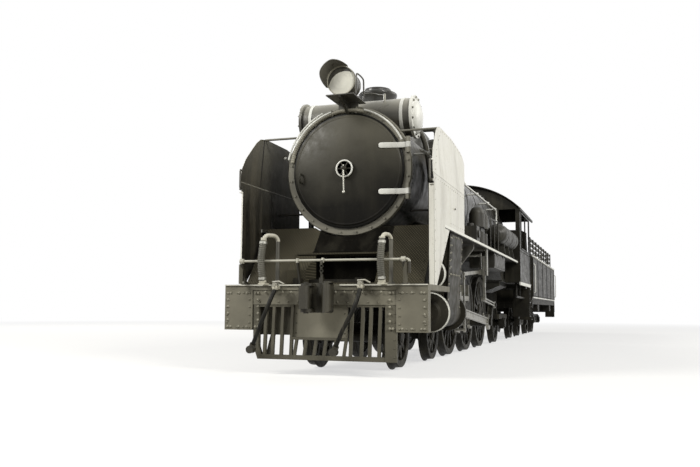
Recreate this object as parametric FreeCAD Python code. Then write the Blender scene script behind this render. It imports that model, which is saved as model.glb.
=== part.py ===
import FreeCAD, Part
import os
import math

os.makedirs("parts", exist_ok=True)

# Metre-gauge 4-6-2 steam locomotive with its eight-wheeled tender, in millimetres.
# Drawing datum: X runs forwards from the face of the buffer beam, Y to the engine's
# left, Z up from the rail top.  save() moves each piece to the part's own origin,
# which is mid-length between the coupler noses, on the floor under the wheel flanges.

V = FreeCAD.Vector

# ---- driving dimensions -------------------------------------------------------
LENGTH = 18980.0            # over the coupler noses
COUPLER_REACH = 300.0       # coupler nose beyond its beam
FLANGE = 28.0               # flange depth below the rail top
BACK_TO_BACK = 926.0        # between wheel backs, metre gauge
WHEEL_W = 130.0             # tyre width
FIT = 0.8                   # radial clearance of a shaft in its bore
PRESS = 0.1                 # radial step where a wheel is pressed on its axle
SIDE_GAP = 6.0              # end clearance between rods, collars and wheels

BEAM_HALF = 1225.0          # half width of buffer beam and deck
BEAM_LOW, BEAM_MID, BEAM_TOP = 475.0, 771.0, 936.0   # end plates, middle, deck
DECK_TOP = 1000.0

DRIVER_D, DRIVER_X = 1372.0, (-4250.0, -5750.0, -7250.0)
LEAD_D, LEAD_X = 762.0, (-1250.0, -3000.0)
TRAIL_D, TRAIL_X = 864.0, -9300.0
TENDER_D = 864.0
TENDER_BOGIE_X, TENDER_BOGIE_BASE = (-12900.0, -16700.0), 1700.0
LEAD_AXLE, TRAIL_AXLE, TENDER_AXLE = 75.0, 85.0, 68.0
JOURNAL = 0.8               # outside journal's share of its axle's radius
CRANK = 305.0               # crank radius, half the piston stroke
CRANK_DEG = {1: -35.0, -1: 55.0}   # crank angle left (+Y) and right, quartered

FRAME_IN, FRAME_OUT = 340.0, 425.0  # bar frame, inner and outer face
FRAME_TOP = 1080.0
BOILER_Z = 2455.0
SMOKEBOX_R, BARREL_R, RING_R, DOOR_R = 800.0, 815.0, 826.0, 730.0
SMOKEBOX_X = (-883.0, -2950.0)
BARREL_BACK = -7450.0
FIREBOX_BACK = -9250.0
CYL_Y, CYL_Z, CYL_R, CLAD_R = 940.0, DRIVER_D / 2, 250.0, 190.0   # flange and cladding radius
CYL_X = (-1350.0, -2450.0)
VALVE_Z, VALVE_R = 1170.0, 200.0
BOARD_TOP, BOARD_T = 1745.0, 30.0   # running board
BOARD_IN, BOARD_OUT = 780.0, 1220.0
CAB_HALF, CAB_X = 1270.0, (-8370.0, -10350.0)
CAB_LOW, EAVE_Z, CROWN_Z = 1300.0, 2870.0, 3410.0
ROOF_X = (-8250.0, -10850.0)
SHEET = 12.0                # cab and tender sheet thickness
TENDER_HALF = 1250.0
TENDER_X = (-11000.0, COUPLER_REACH - LENGTH + COUPLER_REACH)
TENDER_LOW, TENDER_TOP, RACK_TOP = 1010.0, 2050.0, 2560.0
COUPLER_Z = 860.0
ORIGIN = V(LENGTH / 2 - COUPLER_REACH, 0, FLANGE)

# Rod planes outwards from the wheel: (inner face, outer face) in Y.
SIDE_ROD_Y = (660.0, 715.0)
MAIN_ROD_Y = (990.0, 1040.0)
RETURN_Y = (1052.0, 1082.0)
ECC_ROD_Y = (1094.0, 1124.0)
PIN_R = 55.0


# ---- small helpers ------------------------------------------------------------
def block(x, y, z):
    """Box between the two values given for each axis, in any order."""
    lo = V(min(x), min(y), min(z))
    return Part.makeBox(max(x) - lo.x, max(y) - lo.y, max(z) - lo.z, lo)


def drum(start, end, r, r2=None):
    """Cylinder, or cone when r2 is given, between two points."""
    a, b = V(*start), V(*end)
    d = b - a
    if r2 is None:
        return Part.makeCylinder(r, d.Length, a, d)
    return Part.makeCone(r, r2, d.Length, a, d)


def ball(centre, r):
    return Part.makeSphere(r, V(*centre))


def prism(axis, outline, lo, hi):
    """Flat outline pushed along one axis.  The outline holds the other two
    coordinates in X, Y, Z order."""
    put = {"x": lambda a, b: V(lo, a, b), "y": lambda a, b: V(a, lo, b),
           "z": lambda a, b: V(a, b, lo)}[axis]
    pts = [put(*p) for p in outline]
    step = {"x": V(1, 0, 0), "y": V(0, 1, 0), "z": V(0, 0, 1)}[axis] * (hi - lo)
    return Part.Face(Part.makePolygon(pts + pts[:1])).extrude(step)


def smooth(axis, outline, lo, hi):
    """Closed smooth curve through the outline's points, pushed along one axis."""
    put = {"x": lambda a, b: V(lo, a, b), "y": lambda a, b: V(a, lo, b),
           "z": lambda a, b: V(a, b, lo)}[axis]
    curve = Part.BSplineCurve()
    curve.interpolate(Points=[put(*p) for p in outline], PeriodicFlag=True)
    step = {"x": V(1, 0, 0), "y": V(0, 1, 0), "z": V(0, 0, 1)}[axis] * (hi - lo)
    return Part.Face(Part.Wire(curve.toShape())).extrude(step)


def lathe(axis, centre, profile):
    """Body turned about an axis through centre; profile rows are
    (distance along the axis, radius)."""
    pts = [V(s, 0, r) for s, r in profile]
    solid = Part.Face(Part.makePolygon(pts + pts[:1])).revolve(V(), V(1, 0, 0), 360)
    turn = {"x": (V(0, 0, 1), 0), "y": (V(0, 0, 1), 90), "z": (V(0, 1, 0), -90)}[axis]
    solid.rotate(V(), *turn)
    solid.translate(V(*centre))
    return solid


def tube(points, r, bend):
    """Round bar or pipe along straight runs joined by tangent arcs of one radius."""
    p = [V(*q) for q in points]
    edges, here = [], p[0]
    for a, b, c in zip(p, p[1:], p[2:]):
        u, w = (a - b).normalize(), (c - b).normalize()
        half = u.getAngle(w) / 2
        cut = bend / math.tan(half)
        into, out = b + u * cut, b + w * cut
        mid = b + (u + w).normalize() * (bend / math.sin(half) - bend)
        if (into - here).Length > 1e-3:
            edges.append(Part.makeLine(here, into))
        edges.append(Part.Arc(into, mid, out).toShape())
        here = out
    edges.append(Part.makeLine(here, p[-1]))
    ring = Part.Wire(Part.makeCircle(r, p[0], p[1] - p[0]))
    return Part.Wire(edges).makePipeShell([ring], True, False)


def join(parts):
    """One solid, or the fewest, out of pieces that meet."""
    whole = parts[0].multiFuse(parts[1:]) if len(parts) > 1 else parts[0]
    return whole.removeSplitter()


def mirrored(shape):
    return shape.mirror(V(), V(0, 1, 0))


def both(shape):
    """The piece and its mirror image on the other side of the engine."""
    return [shape, mirrored(shape)]


PIECES = {}


def save(name, parts):
    """Keep one sub-part, holding one solid or several that don't touch."""
    PIECES[name] = [s for p in (parts if isinstance(parts, list) else [parts]) for s in p.Solids]


def near(solid, others):
    return [o for o in others if solid.BoundBox.intersect(o.BoundBox)]


def write_all():
    """Let each piece in SEATS into what carries it, then write every piece."""
    for name, carriers in SEATS:
        tools = [s for c in carriers for s in PIECES[c]]
        cut = []
        for solid in PIECES[name]:
            hit = near(solid, tools)
            rest = solid.cut(hit).Solids if hit else [solid]
            cut += [r for r in rest if r.Volume > 0.02 * solid.Volume]
        PIECES[name] = cut
    for name, solids in PIECES.items():
        whole = solids[0].copy() if len(solids) == 1 else Part.makeCompound(solids).copy()
        whole.translate(ORIGIN)
        whole.exportStep("parts/" + name + ".step")


def crank_point(axle_x, side, radius=CRANK, lead=0.0):
    """Where a crank of this radius stands on one side, as (x, z)."""
    a = math.radians(CRANK_DEG[side] + lead)
    return axle_x + radius * math.cos(a), DRIVER_D / 2 + radius * math.sin(a)


# ---- wheels -------------------------------------------------------------------
def tyre_and_rim(r, rim):
    """Tyre with its flange and coned tread on the wheel's rim, back face at Y = 0."""
    return lathe("y", (0, 0, 0), [
        (0, r - rim), (0, r + 8), (6, r + FLANGE), (20, r + FLANGE), (36, r + 3),
        (WHEEL_W, r - 3), (WHEEL_W, r - rim + 30), (WHEEL_W - 12, r - rim)])


def spoked_wheel(dia, spokes, hub_r, rim, turn=0.0):
    """Cast wheel centre: hub, tapered spokes and rim, with its tyre."""
    r = dia / 2
    parts = [tyre_and_rim(r, rim), drum((0, 0, 0), (0, WHEEL_W + 5, 0), hub_r)]
    for i in range(spokes):
        rows = ((hub_r - 15, 38, 46), (r - rim + 6, 26, 34))   # (radius, half width, half depth)
        sections = []
        for s, w, d in rows:
            pts = [V(s, 66 - d, -w), V(s, 66 + d, -w), V(s, 66 + d, w), V(s, 66 - d, w)]
            sections.append(Part.makePolygon(pts + pts[:1]))
        spoke = Part.makeLoft(sections, True, True)
        spoke.rotate(V(), V(0, 1, 0), -(turn + i * 360.0 / spokes))
        parts.append(spoke)
    return parts


def plate_wheel(dia, hub_r, rim):
    """Rolled wheel with a thin dished web between hub and rim."""
    r = dia / 2
    web = lathe("y", (0, 0, 0), [(50, 0), (50, hub_r), (40, r - rim + 5),
                                 (62, r - rim + 5), (80, hub_r), (80, 0)])
    return [tyre_and_rim(r, rim), web, drum((0, 0, 0), (0, WHEEL_W + 10, 0), hub_r)]


def seat(shape, x, z, side):
    """Stand a wheel, built from its back face, on one side of its axle."""
    shape = shape.copy()
    shape.translate(V(x, BACK_TO_BACK / 2, z))
    return shape if side > 0 else mirrored(shape)


def plain_wheelset(name, x, dia, spokes, hub_r, axle_r, journal):
    """Axle with two wheels pressed on; journal is the half length over its ends."""
    z = dia / 2
    solids = []
    for side in (1, -1):
        parts = (spoked_wheel(dia, spokes, hub_r, 85.0) if spokes
                 else plate_wheel(dia, hub_r, 85.0))
        bored = join(parts).cut(drum((0, -10, 0), (0, WHEEL_W + 20, 0), axle_r + PRESS))
        solids.append(seat(bored, x, z, side))
    axle = [drum((x, -journal, z), (x, journal, z), axle_r * JOURNAL),
            drum((x, -BACK_TO_BACK / 2 - WHEEL_W - 12, z), (x, BACK_TO_BACK / 2 + WHEEL_W + 12, z),
                 axle_r)]
    solids.append(join(axle))
    save(name, solids)


DRIVER_HUB, DRIVER_AXLE, DRIVER_RIM = 150.0, 95.0, 95.0


def driving_wheelset(name, x, main):
    """Spoked driving wheels with crank bosses, balance weights and crank pins."""
    r, z = DRIVER_D / 2, DRIVER_D / 2
    face = WHEEL_W + 12
    solids = []
    for side in (1, -1):
        deg = CRANK_DEG[side]
        parts = spoked_wheel(DRIVER_D, 14, DRIVER_HUB, DRIVER_RIM, deg)
        a = math.radians(deg)
        cx, cz = CRANK * math.cos(a), CRANK * math.sin(a)
        boss = drum((cx, 10, cz), (cx, face, cz), 115)
        web = block((0, CRANK), (20, face - 6), (-95, 95))
        web.rotate(V(), V(0, 1, 0), -deg)
        inner = r - DRIVER_RIM + 5
        weight = drum((0, 25, 0), (0, 110, 0), inner)
        keep = block((-inner, -inner * (0.42 if main else 0.6)), (0, 200), (-inner, inner))
        keep.rotate(V(), V(0, 1, 0), -deg)
        bores = [drum((0, -10, 0), (0, 300, 0), DRIVER_AXLE + PRESS),
                 drum((cx, -10, cz), (cx, 300, cz), PIN_R + PRESS)]
        wheel = join(parts + [boss, web, weight.common(keep)]).cut(bores)
        # the wheel is drawn for the left side; the right one is mirrored, so its
        # crank keeps the same X and Z
        solids.append(seat(wheel, x, z, side))
        px, pz = crank_point(x, side)
        y0 = BACK_TO_BACK / 2 + 12
        if main:
            pin = [drum((px, y0, pz), (px, RETURN_Y[0], pz), PIN_R),
                   drum((px, BACK_TO_BACK / 2 + face + 1, pz), (px, SIDE_ROD_Y[0] - SIDE_GAP, pz), 80),
                   drum((px, SIDE_ROD_Y[1] + SIDE_GAP, pz), (px, MAIN_ROD_Y[0] - SIDE_GAP, pz), 80)]
            ex, ez = crank_point(x, side, ECC_THROW, 90.0)
            arm = bar_between((px, pz), (ex, ez), RETURN_Y, 46, 70, 50)
            pin += [arm, drum((ex, RETURN_Y[0], ez), (ex, ECC_ROD_Y[1] + 14, ez), 28),
                    drum((ex, ECC_ROD_Y[1] + SIDE_GAP, ez), (ex, ECC_ROD_Y[1] + 16, ez), 42)]
        else:
            pin = [drum((px, y0, pz), (px, SIDE_ROD_Y[1] + 22, pz), PIN_R),
                   drum((px, BACK_TO_BACK / 2 + face + 1, pz), (px, SIDE_ROD_Y[0] - SIDE_GAP, pz), 80),
                   drum((px, SIDE_ROD_Y[1] + SIDE_GAP, pz), (px, SIDE_ROD_Y[1] + 24, pz), 78)]
        pin = join(pin)
        solids.append(pin if side > 0 else mirrored(pin))
    half = BACK_TO_BACK / 2 + WHEEL_W + 10
    solids.append(drum((x, -half, z), (x, half, z), DRIVER_AXLE))
    save(name, solids)


ECC_THROW = 150.0           # eccentric crank's pin from the axle centre


def bar_between(a, b, y, half, eye_a, eye_b):
    """Flat bar between two points (x, z), with round ends, of thickness y."""
    (ax, az), (bx, bz) = a, b
    d = math.hypot(bx - ax, bz - az)
    nx, nz = -(bz - az) / d * half, (bx - ax) / d * half
    shank = prism("y", [(ax + nx, az + nz), (bx + nx, bz + nz),
                        (bx - nx, bz - nz), (ax - nx, az - nz)], y[0], y[1])
    return join([shank, drum((ax, y[0], az), (ax, y[1], az), eye_a),
                 drum((bx, y[0], bz), (bx, y[1], bz), eye_b)])


def fluted_rod(points, y, half, eyes, bores):
    """Forged rod of I section through eyes at the points (x, z)."""
    parts, flutes = [], []
    for (a, b, ea, eb) in zip(points, points[1:], eyes, eyes[1:]):
        parts.append(bar_between(a, b, y, half, ea, eb))
        d = math.hypot(b[0] - a[0], b[1] - a[1])
        u = ((b[0] - a[0]) / d, (b[1] - a[1]) / d)
        p = (a[0] + u[0] * (ea + 60), a[1] + u[1] * (ea + 60))
        q = (b[0] - u[0] * (eb + 60), b[1] - u[1] * (eb + 60))
        for lo, hi in ((y[0] - 5, y[0] + 15), (y[1] - 15, y[1] + 5)):
            flutes.append(bar_between(p, q, (lo, hi), half - 20, half - 20, half - 20))
    rod = join(parts).cut(flutes)
    return rod.cut([drum((p[0], y[0] - 5, p[1]), (p[0], y[1] + 5, p[1]), r + FIT)
                    for p, r in zip(points, bores)])


ROD_LENGTH = 2450.0         # main rod between centres
LINK_FOOT = (-4330.0, 900.0)   # foot of the expansion link, (x, z)


def crosshead_pin(side):
    """Where the crosshead pin stands for the crank angle shown, as (x, z)."""
    px, pz = crank_point(DRIVER_X[1], side)
    return px + math.sqrt(ROD_LENGTH ** 2 - (pz - CYL_Z) ** 2), CYL_Z


def rods():
    for side, tag in ((1, "left"), (-1, "right")):
        pins = [crank_point(x, side) for x in DRIVER_X]
        rod = fluted_rod(pins, SIDE_ROD_Y, 52, (105, 125, 105), (PIN_R,) * 3)
        cups = [drum((px, SIDE_ROD_Y[0] + 10, pz + 90), (px, SIDE_ROD_Y[0] + 10, pz + 150), 20)
                for px, pz in pins]
        for (px, pz) in pins:
            cups.append(drum((px, sum(SIDE_ROD_Y) / 2, pz + 90), (px, sum(SIDE_ROD_Y) / 2, pz + 148), 20))
        rod = join([rod] + cups[3:])
        save("side_rod_" + tag, rod if side > 0 else mirrored(rod))

        pin, head = pins[1], crosshead_pin(side)
        rod = fluted_rod([pin, head], MAIN_ROD_Y, 58, (135, 85), (PIN_R, 40))
        save("main_rod_" + tag, rod if side > 0 else mirrored(rod))

        ecc = crank_point(DRIVER_X[1], side, ECC_THROW, 90.0)
        rod = fluted_rod([ecc, LINK_FOOT], ECC_ROD_Y, 32, (60, 42), (28, 20))
        save("eccentric_rod_" + tag, rod if side > 0 else mirrored(rod))


# ---- main frame ---------------------------------------------------------------
def engine_frame():
    """Two bar frames with pedestals for the driving boxes, tied by stretchers."""
    z = DRIVER_D / 2
    side = [block((-150, -9000), (FRAME_IN, FRAME_OUT), (FRAME_TOP - 110, FRAME_TOP))]
    side.append(block((DRIVER_X[0] + 700, DRIVER_X[2] - 500), (FRAME_IN, FRAME_OUT), (440, 520)))
    for x in DRIVER_X:
        for s in (-1, 1):
            side.append(block((x + s * 150, x + s * 250), (FRAME_IN, FRAME_OUT), (440, FRAME_TOP - 60)))
        side.append(block((x - 250, x + 250), (FRAME_IN, FRAME_OUT), (FRAME_TOP - 110, FRAME_TOP)))
    side.append(block((DRIVER_X[0] + 600, DRIVER_X[0] + 700), (FRAME_IN, FRAME_OUT), (440, FRAME_TOP - 60)))
    side.append(block((DRIVER_X[2] - 600, DRIVER_X[2] - 500), (FRAME_IN, FRAME_OUT), (440, FRAME_TOP - 60)))
    side.append(prism("y", [(-8700, FRAME_TOP - 110), (-9000, FRAME_TOP), (-10750, FRAME_TOP),
                            (-10750, FRAME_TOP - 180), (-8950, FRAME_TOP - 180)], FRAME_IN, FRAME_OUT))
    side = join(side).cut([block((x - 150, x + 150), (FRAME_IN - 5, FRAME_OUT + 5), (500, 930))
                           for x in DRIVER_X])
    ties = []
    for x, w, low in ((-400, 120, 970), (-3450, 160, 970), (-5000, 200, 990), (-6500, 200, 990),
                      (-8300, 200, 970), (-9800, 160, 900), (-10670, 160, 930)):
        ties.append(block((x - w / 2, x + w / 2), (-FRAME_IN - 20, FRAME_IN + 20), (low, FRAME_TOP - 10)))
    save("engine_frame", join(both(side) + ties + [lead_pivot(), truck_pivot(), drawbar_pin()]))


def axle_boxes():
    """Driving boxes between the pedestals, bored for the axles."""
    z, solids = DRIVER_D / 2, []
    for x in DRIVER_X:
        box = block((x - 150, x + 150), (FRAME_IN - 25, FRAME_OUT + 20), (z - 165, z + 150))
        box = box.cut([drum((x, 0, z), (x, 600, z), DRIVER_AXLE + FIT)])
        solids += both(box)
    return solids


def springs():
    """Laminated springs over the driving boxes, seated on the frame's top bars."""
    solids = axle_boxes()
    mid = (FRAME_IN + FRAME_OUT) / 2
    for x in DRIVER_X:
        leaves = []
        for i in range(6):
            half = 430 - 60 * i
            leaves.append(block((x - half, x + half), (mid - 38, mid + 38),
                                (FRAME_TOP + 60 + 11 * i, FRAME_TOP + 70 + 11 * i + 1)))
        buckle = block((x - 45, x + 45), (mid - 48, mid + 48), (FRAME_TOP, FRAME_TOP + 140))
        hangers = [block((x + s * 400 - 20, x + s * 400 + 20), (mid - 30, mid + 30),
                         (FRAME_TOP, FRAME_TOP + 62)) for s in (-1, 1)]
        solids += both(join(leaves + [buckle] + hangers))
    save("driving_boxes_and_springs", solids)


def buffer_beam():
    """Beam of two deep riveted end plates and a shallow middle, with the deck
    behind it and the wear bar along its edge."""
    end = 870.0
    beam = [block((-150, -10), (-end, end), (BEAM_MID, BEAM_TOP)),
            block((-150, -10), (-BEAM_HALF + 20, BEAM_HALF - 20), (BEAM_TOP - 110, BEAM_TOP)),
            block((-1150, 0), (-BEAM_HALF, BEAM_HALF), (BEAM_TOP, DECK_TOP - 12)),
            block((-1150, 14), (-BEAM_HALF, BEAM_HALF), (DECK_TOP - 13, DECK_TOP))]
    rivets = [(y, BEAM_MID + 30) for y in range(-780, 800, 120) if abs(y) > 150]
    for s in (-1, 1):
        beam += [block((-40, 0), (s * (end - 2), s * BEAM_HALF), (BEAM_LOW, BEAM_TOP)),
                 block((-120, -38), (s * (end - 2), s * (end + 12)), (BEAM_LOW, BEAM_TOP)),
                 block((-120, -38), (s * (BEAM_HALF - 14), s * BEAM_HALF), (BEAM_LOW, BEAM_TOP))]
        for y in (s * 740, s * (FRAME_IN + 42)):
            beam.append(prism("y", [(-140, BEAM_MID), (-140, BEAM_TOP), (-700, BEAM_TOP), (-700, 880)],
                              y - 12, y + 12))
        rivets += [(s * y, z) for y in (905, 985, 1065, 1145, 1195) for z in (BEAM_LOW + 32, BEAM_TOP - 32)]
        rivets += [(s * y, z) for y in (905, 1195) for z in (560, 650, 740, 830)]
    for y, z in rivets:
        face = 0 if abs(y) > end else -10
        beam.append(lathe("x", (face, y, z), [(-5, 0), (-5, 13), (4, 12), (9, 6), (10, 0)]))
    beam.append(block((-6, 18), (-860, 830), (DECK_TOP - 16, DECK_TOP)))
    pocket = [block((-170, 10), (-120, 120), (COUPLER_Z - 75, BEAM_TOP - 10)),
              block((-2, 30), (-140, 215), (BEAM_TOP, DECK_TOP + 10))]
    save("buffer_beam", join(beam).cut(pocket))


PILOT_TOP, PILOT_LOW = 775.0, 145.0
PILOT_BARS = (-712, -611, -501, -380, 339, 467, 562, 671)   # at half height
GRILLE_Y = (-364.0, 294.0)  # plate and short bars below the coupler


def pilot():
    """Upright barred cow-catcher under the beam: leaning bars between two rails and
    two posts, with a plate and a short slanted grille at its middle."""
    def leaning(y, drift, low, high, half):
        return prism("x", [(y + drift - half, high), (y + drift + half, high), (y - drift + half, low),
                           (y - drift - half, low)], -62, -22)
    y0, y1 = GRILLE_Y
    parts = [block((-70, -20), (-800, 740), (PILOT_LOW, PILOT_LOW + 52)),
             block((-70, -20), (-800, y0 + 8), (PILOT_TOP - 30, PILOT_TOP)),
             block((-70, -20), (y1 - 8, 740), (PILOT_TOP - 30, PILOT_TOP)),
             block((-70, -20), GRILLE_Y, (372, 402)),
             block((-66, -50), GRILLE_Y, (402, DECK_TOP - 12)),
             block((-150, -140), (-800, y0), (420, BEAM_MID)),
             block((-150, -30), (-800, -790), (420, BEAM_MID)),
             prism("x", [(-790, BEAM_TOP), (-858, BEAM_TOP), (-858, 300), (-800, PILOT_LOW),
                         (-740, PILOT_LOW), (-790, 290)], -78, -14),
             block((-40, -14), (738, 872), (PILOT_LOW, 900)),
             block((-120, -14), (738, 752), (PILOT_LOW, 900))]
    parts += [leaning(y, 11, PILOT_LOW + 20, PILOT_TOP - 10, 17) for y in PILOT_BARS]
    pitch = (y1 - y0 - 60) / 5
    parts += [leaning(y0 + 30 + pitch * i, 17, PILOT_LOW + 20, 390, 15) for i in range(6)]
    parts += [lathe("x", (-14, 845, z), [(-5, 0), (-5, 11), (5, 8), (8, 0)]) for z in range(200, 880, 95)]
    parts += [lathe("x", (-50, y, z), [(-5, 0), (-5, 11), (5, 8), (8, 0)])
              for y in (y0 + 34, y1 - 34) for z in range(450, 900, 110)]
    for y in (-700, 700):
        parts.append(prism("y", [(-60, PILOT_LOW + 50), (-110, PILOT_LOW + 10), (-560, 900), (-480, BEAM_TOP)],
                           y - 15, y + 15))
    save("pilot", join(parts))


APRON_HALF = 1100.0


def front_apron():
    """Sheet-metal front of the tread plate: one slope from the smokebox down to the
    deck with closed sides, and a hooded recess with its box pillar over the coupler."""
    foot, head, half = (-300.0, DECK_TOP), (-900.0, BOARD_TOP), APRON_HALF
    rise = (head[1] - foot[1]) / (head[0] - foot[0])

    def slope_x(z):
        return foot[0] + (z - foot[1]) / rise
    sheet = prism("y", [foot, head, (head[0] - 14, head[1]), (foot[0] - 14, foot[1])], -half, half)
    wedge = prism("y", [foot, head, (head[0], foot[1])], -half, half)
    hole = block((-2000, 0), (-520, 520), (DECK_TOP + 30, 1385))
    walls = join([block((-780, -768), (-532, 532), (DECK_TOP, 1420)),
                  block((-780, 0), (-532, 532), (1385, 1397))]
                 + [block((-780, 0), (s * 520, s * 532), (DECK_TOP, 1397)) for s in (-1, 1)]).common(wedge)
    lip = prism("y", [(slope_x(1385), 1385), (slope_x(1385) + 46, 1380), (slope_x(1385) + 46, 1398),
                      (slope_x(1425), 1425)], -560, 560)
    pillar = prism("y", [(slope_x(1385) + 4, 1385), (slope_x(1385) + 4, DECK_TOP), (slope_x(DECK_TOP) + 60, DECK_TOP),
                         (slope_x(DECK_TOP) + 60, 1180)], -550, -300)
    sides = [prism("y", [foot, head, (head[0] - 60, head[1]), (head[0] - 60, foot[1])], s * half - 6, s * half + 6)
             for s in (-1, 1)]
    frame = [block((-912, -898), (-half, half), (DECK_TOP, BOARD_TOP))]
    rivets = [lathe("x", (slope_x(z) - 6, s * (half - 45), z), [(0, 0), (0, 11), (12, 9), (15, 0)])
              for s in (-1, 1) for z in range(1060, 1720, 110)]
    body = join([sheet.cut(hole), walls, lip, pillar] + sides + frame + rivets)
    save("front_apron", body.cut(drum((-1000, 0, BOILER_Z), (-100, 0, BOILER_Z), RING_R + 12)))


def coupler(face_x, facing):
    """Knuckle coupler: cast head curving into its guard arm, knuckle on its pin in
    two ears, lock lifter on top, and the square shank behind."""
    def at(x):
        return face_x + facing * x

    def plan(rows, low, high):
        return smooth("z", [(at(x), y) for x, y in rows], low, high)
    z = COUPLER_Z
    low, high, reach = z - 180.0, z + 150.0, COUPLER_REACH
    head = plan([(8, -75), (40, -120), (95, -118), (118, -60), (135, 30), (175, 78), (235, 92), (reach - 18, 118),
                 (reach - 14, 165), (reach - 70, 196), (150, 196), (70, 150), (14, 80)], low, high)
    corner = block((at(-20), at(reach)), (-200, 200), (low, high))
    corner = corner.makeFillet(60, [e for e in corner.Edges if abs(e.tangentAt(e.FirstParameter).x) > 0.9])
    pin = (at(135), -138)
    knuckle = plan([(90, -92), (88, -160), (135, -196), (205, -192), (reach - 16, -164), (reach + 8, -115),
                    (reach - 12, -64), (reach - 48, -52), (225, -92), (165, -88)], z - 138, z + 118)
    knuckle = knuckle.cut(block((at(reach), at(reach + 60)), (-300, 300), (low, high)))
    parts = [head.common(corner), knuckle, block((at(-150), at(40)), (-72, 72), (z - 75, z + 56)),
             drum((pin[0], pin[1], low - 8), (pin[0], pin[1], high + 12), 30)]
    for a, b in ((low + 4, z - 137), (z + 117, high - 4)):
        parts.append(plan([(60, -70), (70, -150), (135, -202), (200, -160), (190, -70), (120, -40)], a, b))
    parts += [plan([(120, 60), (170, 90), (230, 104), (reach - 30, 130), (reach - 60, 190), (150, 192), (80, 140)],
                   high - 4, high + 16),
              block((at(96), at(140)), (16, 62), (high - 6, high + 60)),
              drum((at(118), 40, high + 50), (at(118), 40, high + 98), 17)]
    return join(parts)


def uncoupling_gear():
    """Cross rod on stanchions at the deck's ends, with its bent lifting arm and
    the short chain down to the coupler's lock."""
    x, z, foot = 82.0, 1268.0, DECK_TOP
    parts = [drum((x, -965, z), (x, 1005, z), 14)]
    for y in (-970, 970):
        parts += [prism("y", [(x - 26, z + 26), (x + 24, z + 26), (x + 24, z - 30), (12, foot + 60), (12, foot),
                              (-60, foot), (-60, foot + 20), (-14, foot + 60), (x - 44, z - 40)], y - 9, y + 9),
                  block((-70, 14), (y - 36, y + 36), (foot, foot + 16)),
                  drum((x, y - 22, z), (x, y + 22, z), 30)]
    parts += [tube([(x, 1000, z), (x, 1040, z), (x, 1040, z - 150)], 14, 30),
              prism("y", [(x - 24, z + 24), (x + 24, z + 24), (x + 24, z - 24), (10, foot), (-40, foot),
                          (x - 30, z - 30)], -280, -262),
              prism("y", [(x - 22, z + 22), (x + 16, z + 26), (x + 60, z - 30), (x + 60, z - 56), (x - 10, z - 24)],
                    26, 50)]
    low = COUPLER_Z + 150 + 84
    for i in range(4):
        link = Part.makeTorus(17, 5, V(), V(1, 0, 0) if i % 2 else V(0, 1, 0))
        link.translate(V(x + 42, 38, low + 24 + 27 * i))
        parts.append(link)
    save("front_coupler", join([coupler(0.0, 1)] + parts))


# ---- boiler -------------------------------------------------------------------
HEATER_X, HEATER_Z, HEATER_R, HEATER_HALF = -1350.0, 3305.0, 252.0, 820.0
CHIMNEY_X, CHIMNEY_TOP = -2130.0, 3900.0
SHELL = 20.0


def smokebox():
    """Hollow smokebox with its front ring, tube plate, blast pipe and saddle recess."""
    x0, x1 = SMOKEBOX_X
    shell = lathe("x", (0, 0, BOILER_Z), [
        (x0, DOOR_R - 45), (x0, RING_R - 12), (x0 - 14, RING_R), (x0 - 55, RING_R),
        (x0 - 60, SMOKEBOX_R), (x1, SMOKEBOX_R), (x1, 0), (x1 + 40, 0),
        (x1 + 40, SMOKEBOX_R - SHELL), (x0 - 60, SMOKEBOX_R - SHELL), (x0 - 45, DOOR_R - 45)])
    shell = shell.cut(heater_body())
    blast = lathe("z", (CHIMNEY_X, 0, 0), [(BOILER_Z - SMOKEBOX_R + 8, 0), (BOILER_Z - SMOKEBOX_R + 8, 130),
                                           (BOILER_Z - 250, 90), (BOILER_Z - 200, 90), (BOILER_Z - 200, 0)])
    shell = shell.cut(drum((CHIMNEY_X, 0, BOILER_Z + 500), (CHIMNEY_X, 0, 3400), 230))
    parts = [shell, blast]
    pitch_r = (DOOR_R + RING_R) / 2
    for i in range(24):
        a = math.radians(7.5 + 15 * i)
        y, z = pitch_r * math.sin(a), BOILER_Z + pitch_r * math.cos(a)
        strapped = y > 0 and min(abs(z - strap) for strap in STRAP_Z) < 70
        if not strapped and (abs(y) < 560 or z < BOILER_Z + 300):
            parts.append(drum((x0 - 5, y, z), (x0 + 16, y, z), 14))
    for z in STRAP_Z:
        parts.append(block((x0 - 30, -828), (755, 800), (z - 95, z - 40)))
        parts.append(block((x0 - 30, -828), (755, 800), (z + 40, z + 95)))
        parts.append(drum((HINGE_X, HINGE_Y, z - 100), (HINGE_X, HINGE_Y, z - 36), 24))
        parts.append(drum((HINGE_X, HINGE_Y, z + 36), (HINGE_X, HINGE_Y, z + 100), 24))
        parts.append(drum((HINGE_X, HINGE_Y, z - 40), (HINGE_X, HINGE_Y, z + 40), 15))
    save("smokebox", join(parts))


HINGE_X, HINGE_Y = -838.0, 790.0
STRAP_Z = (2735.0, 2160.0)  # door straps


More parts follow.
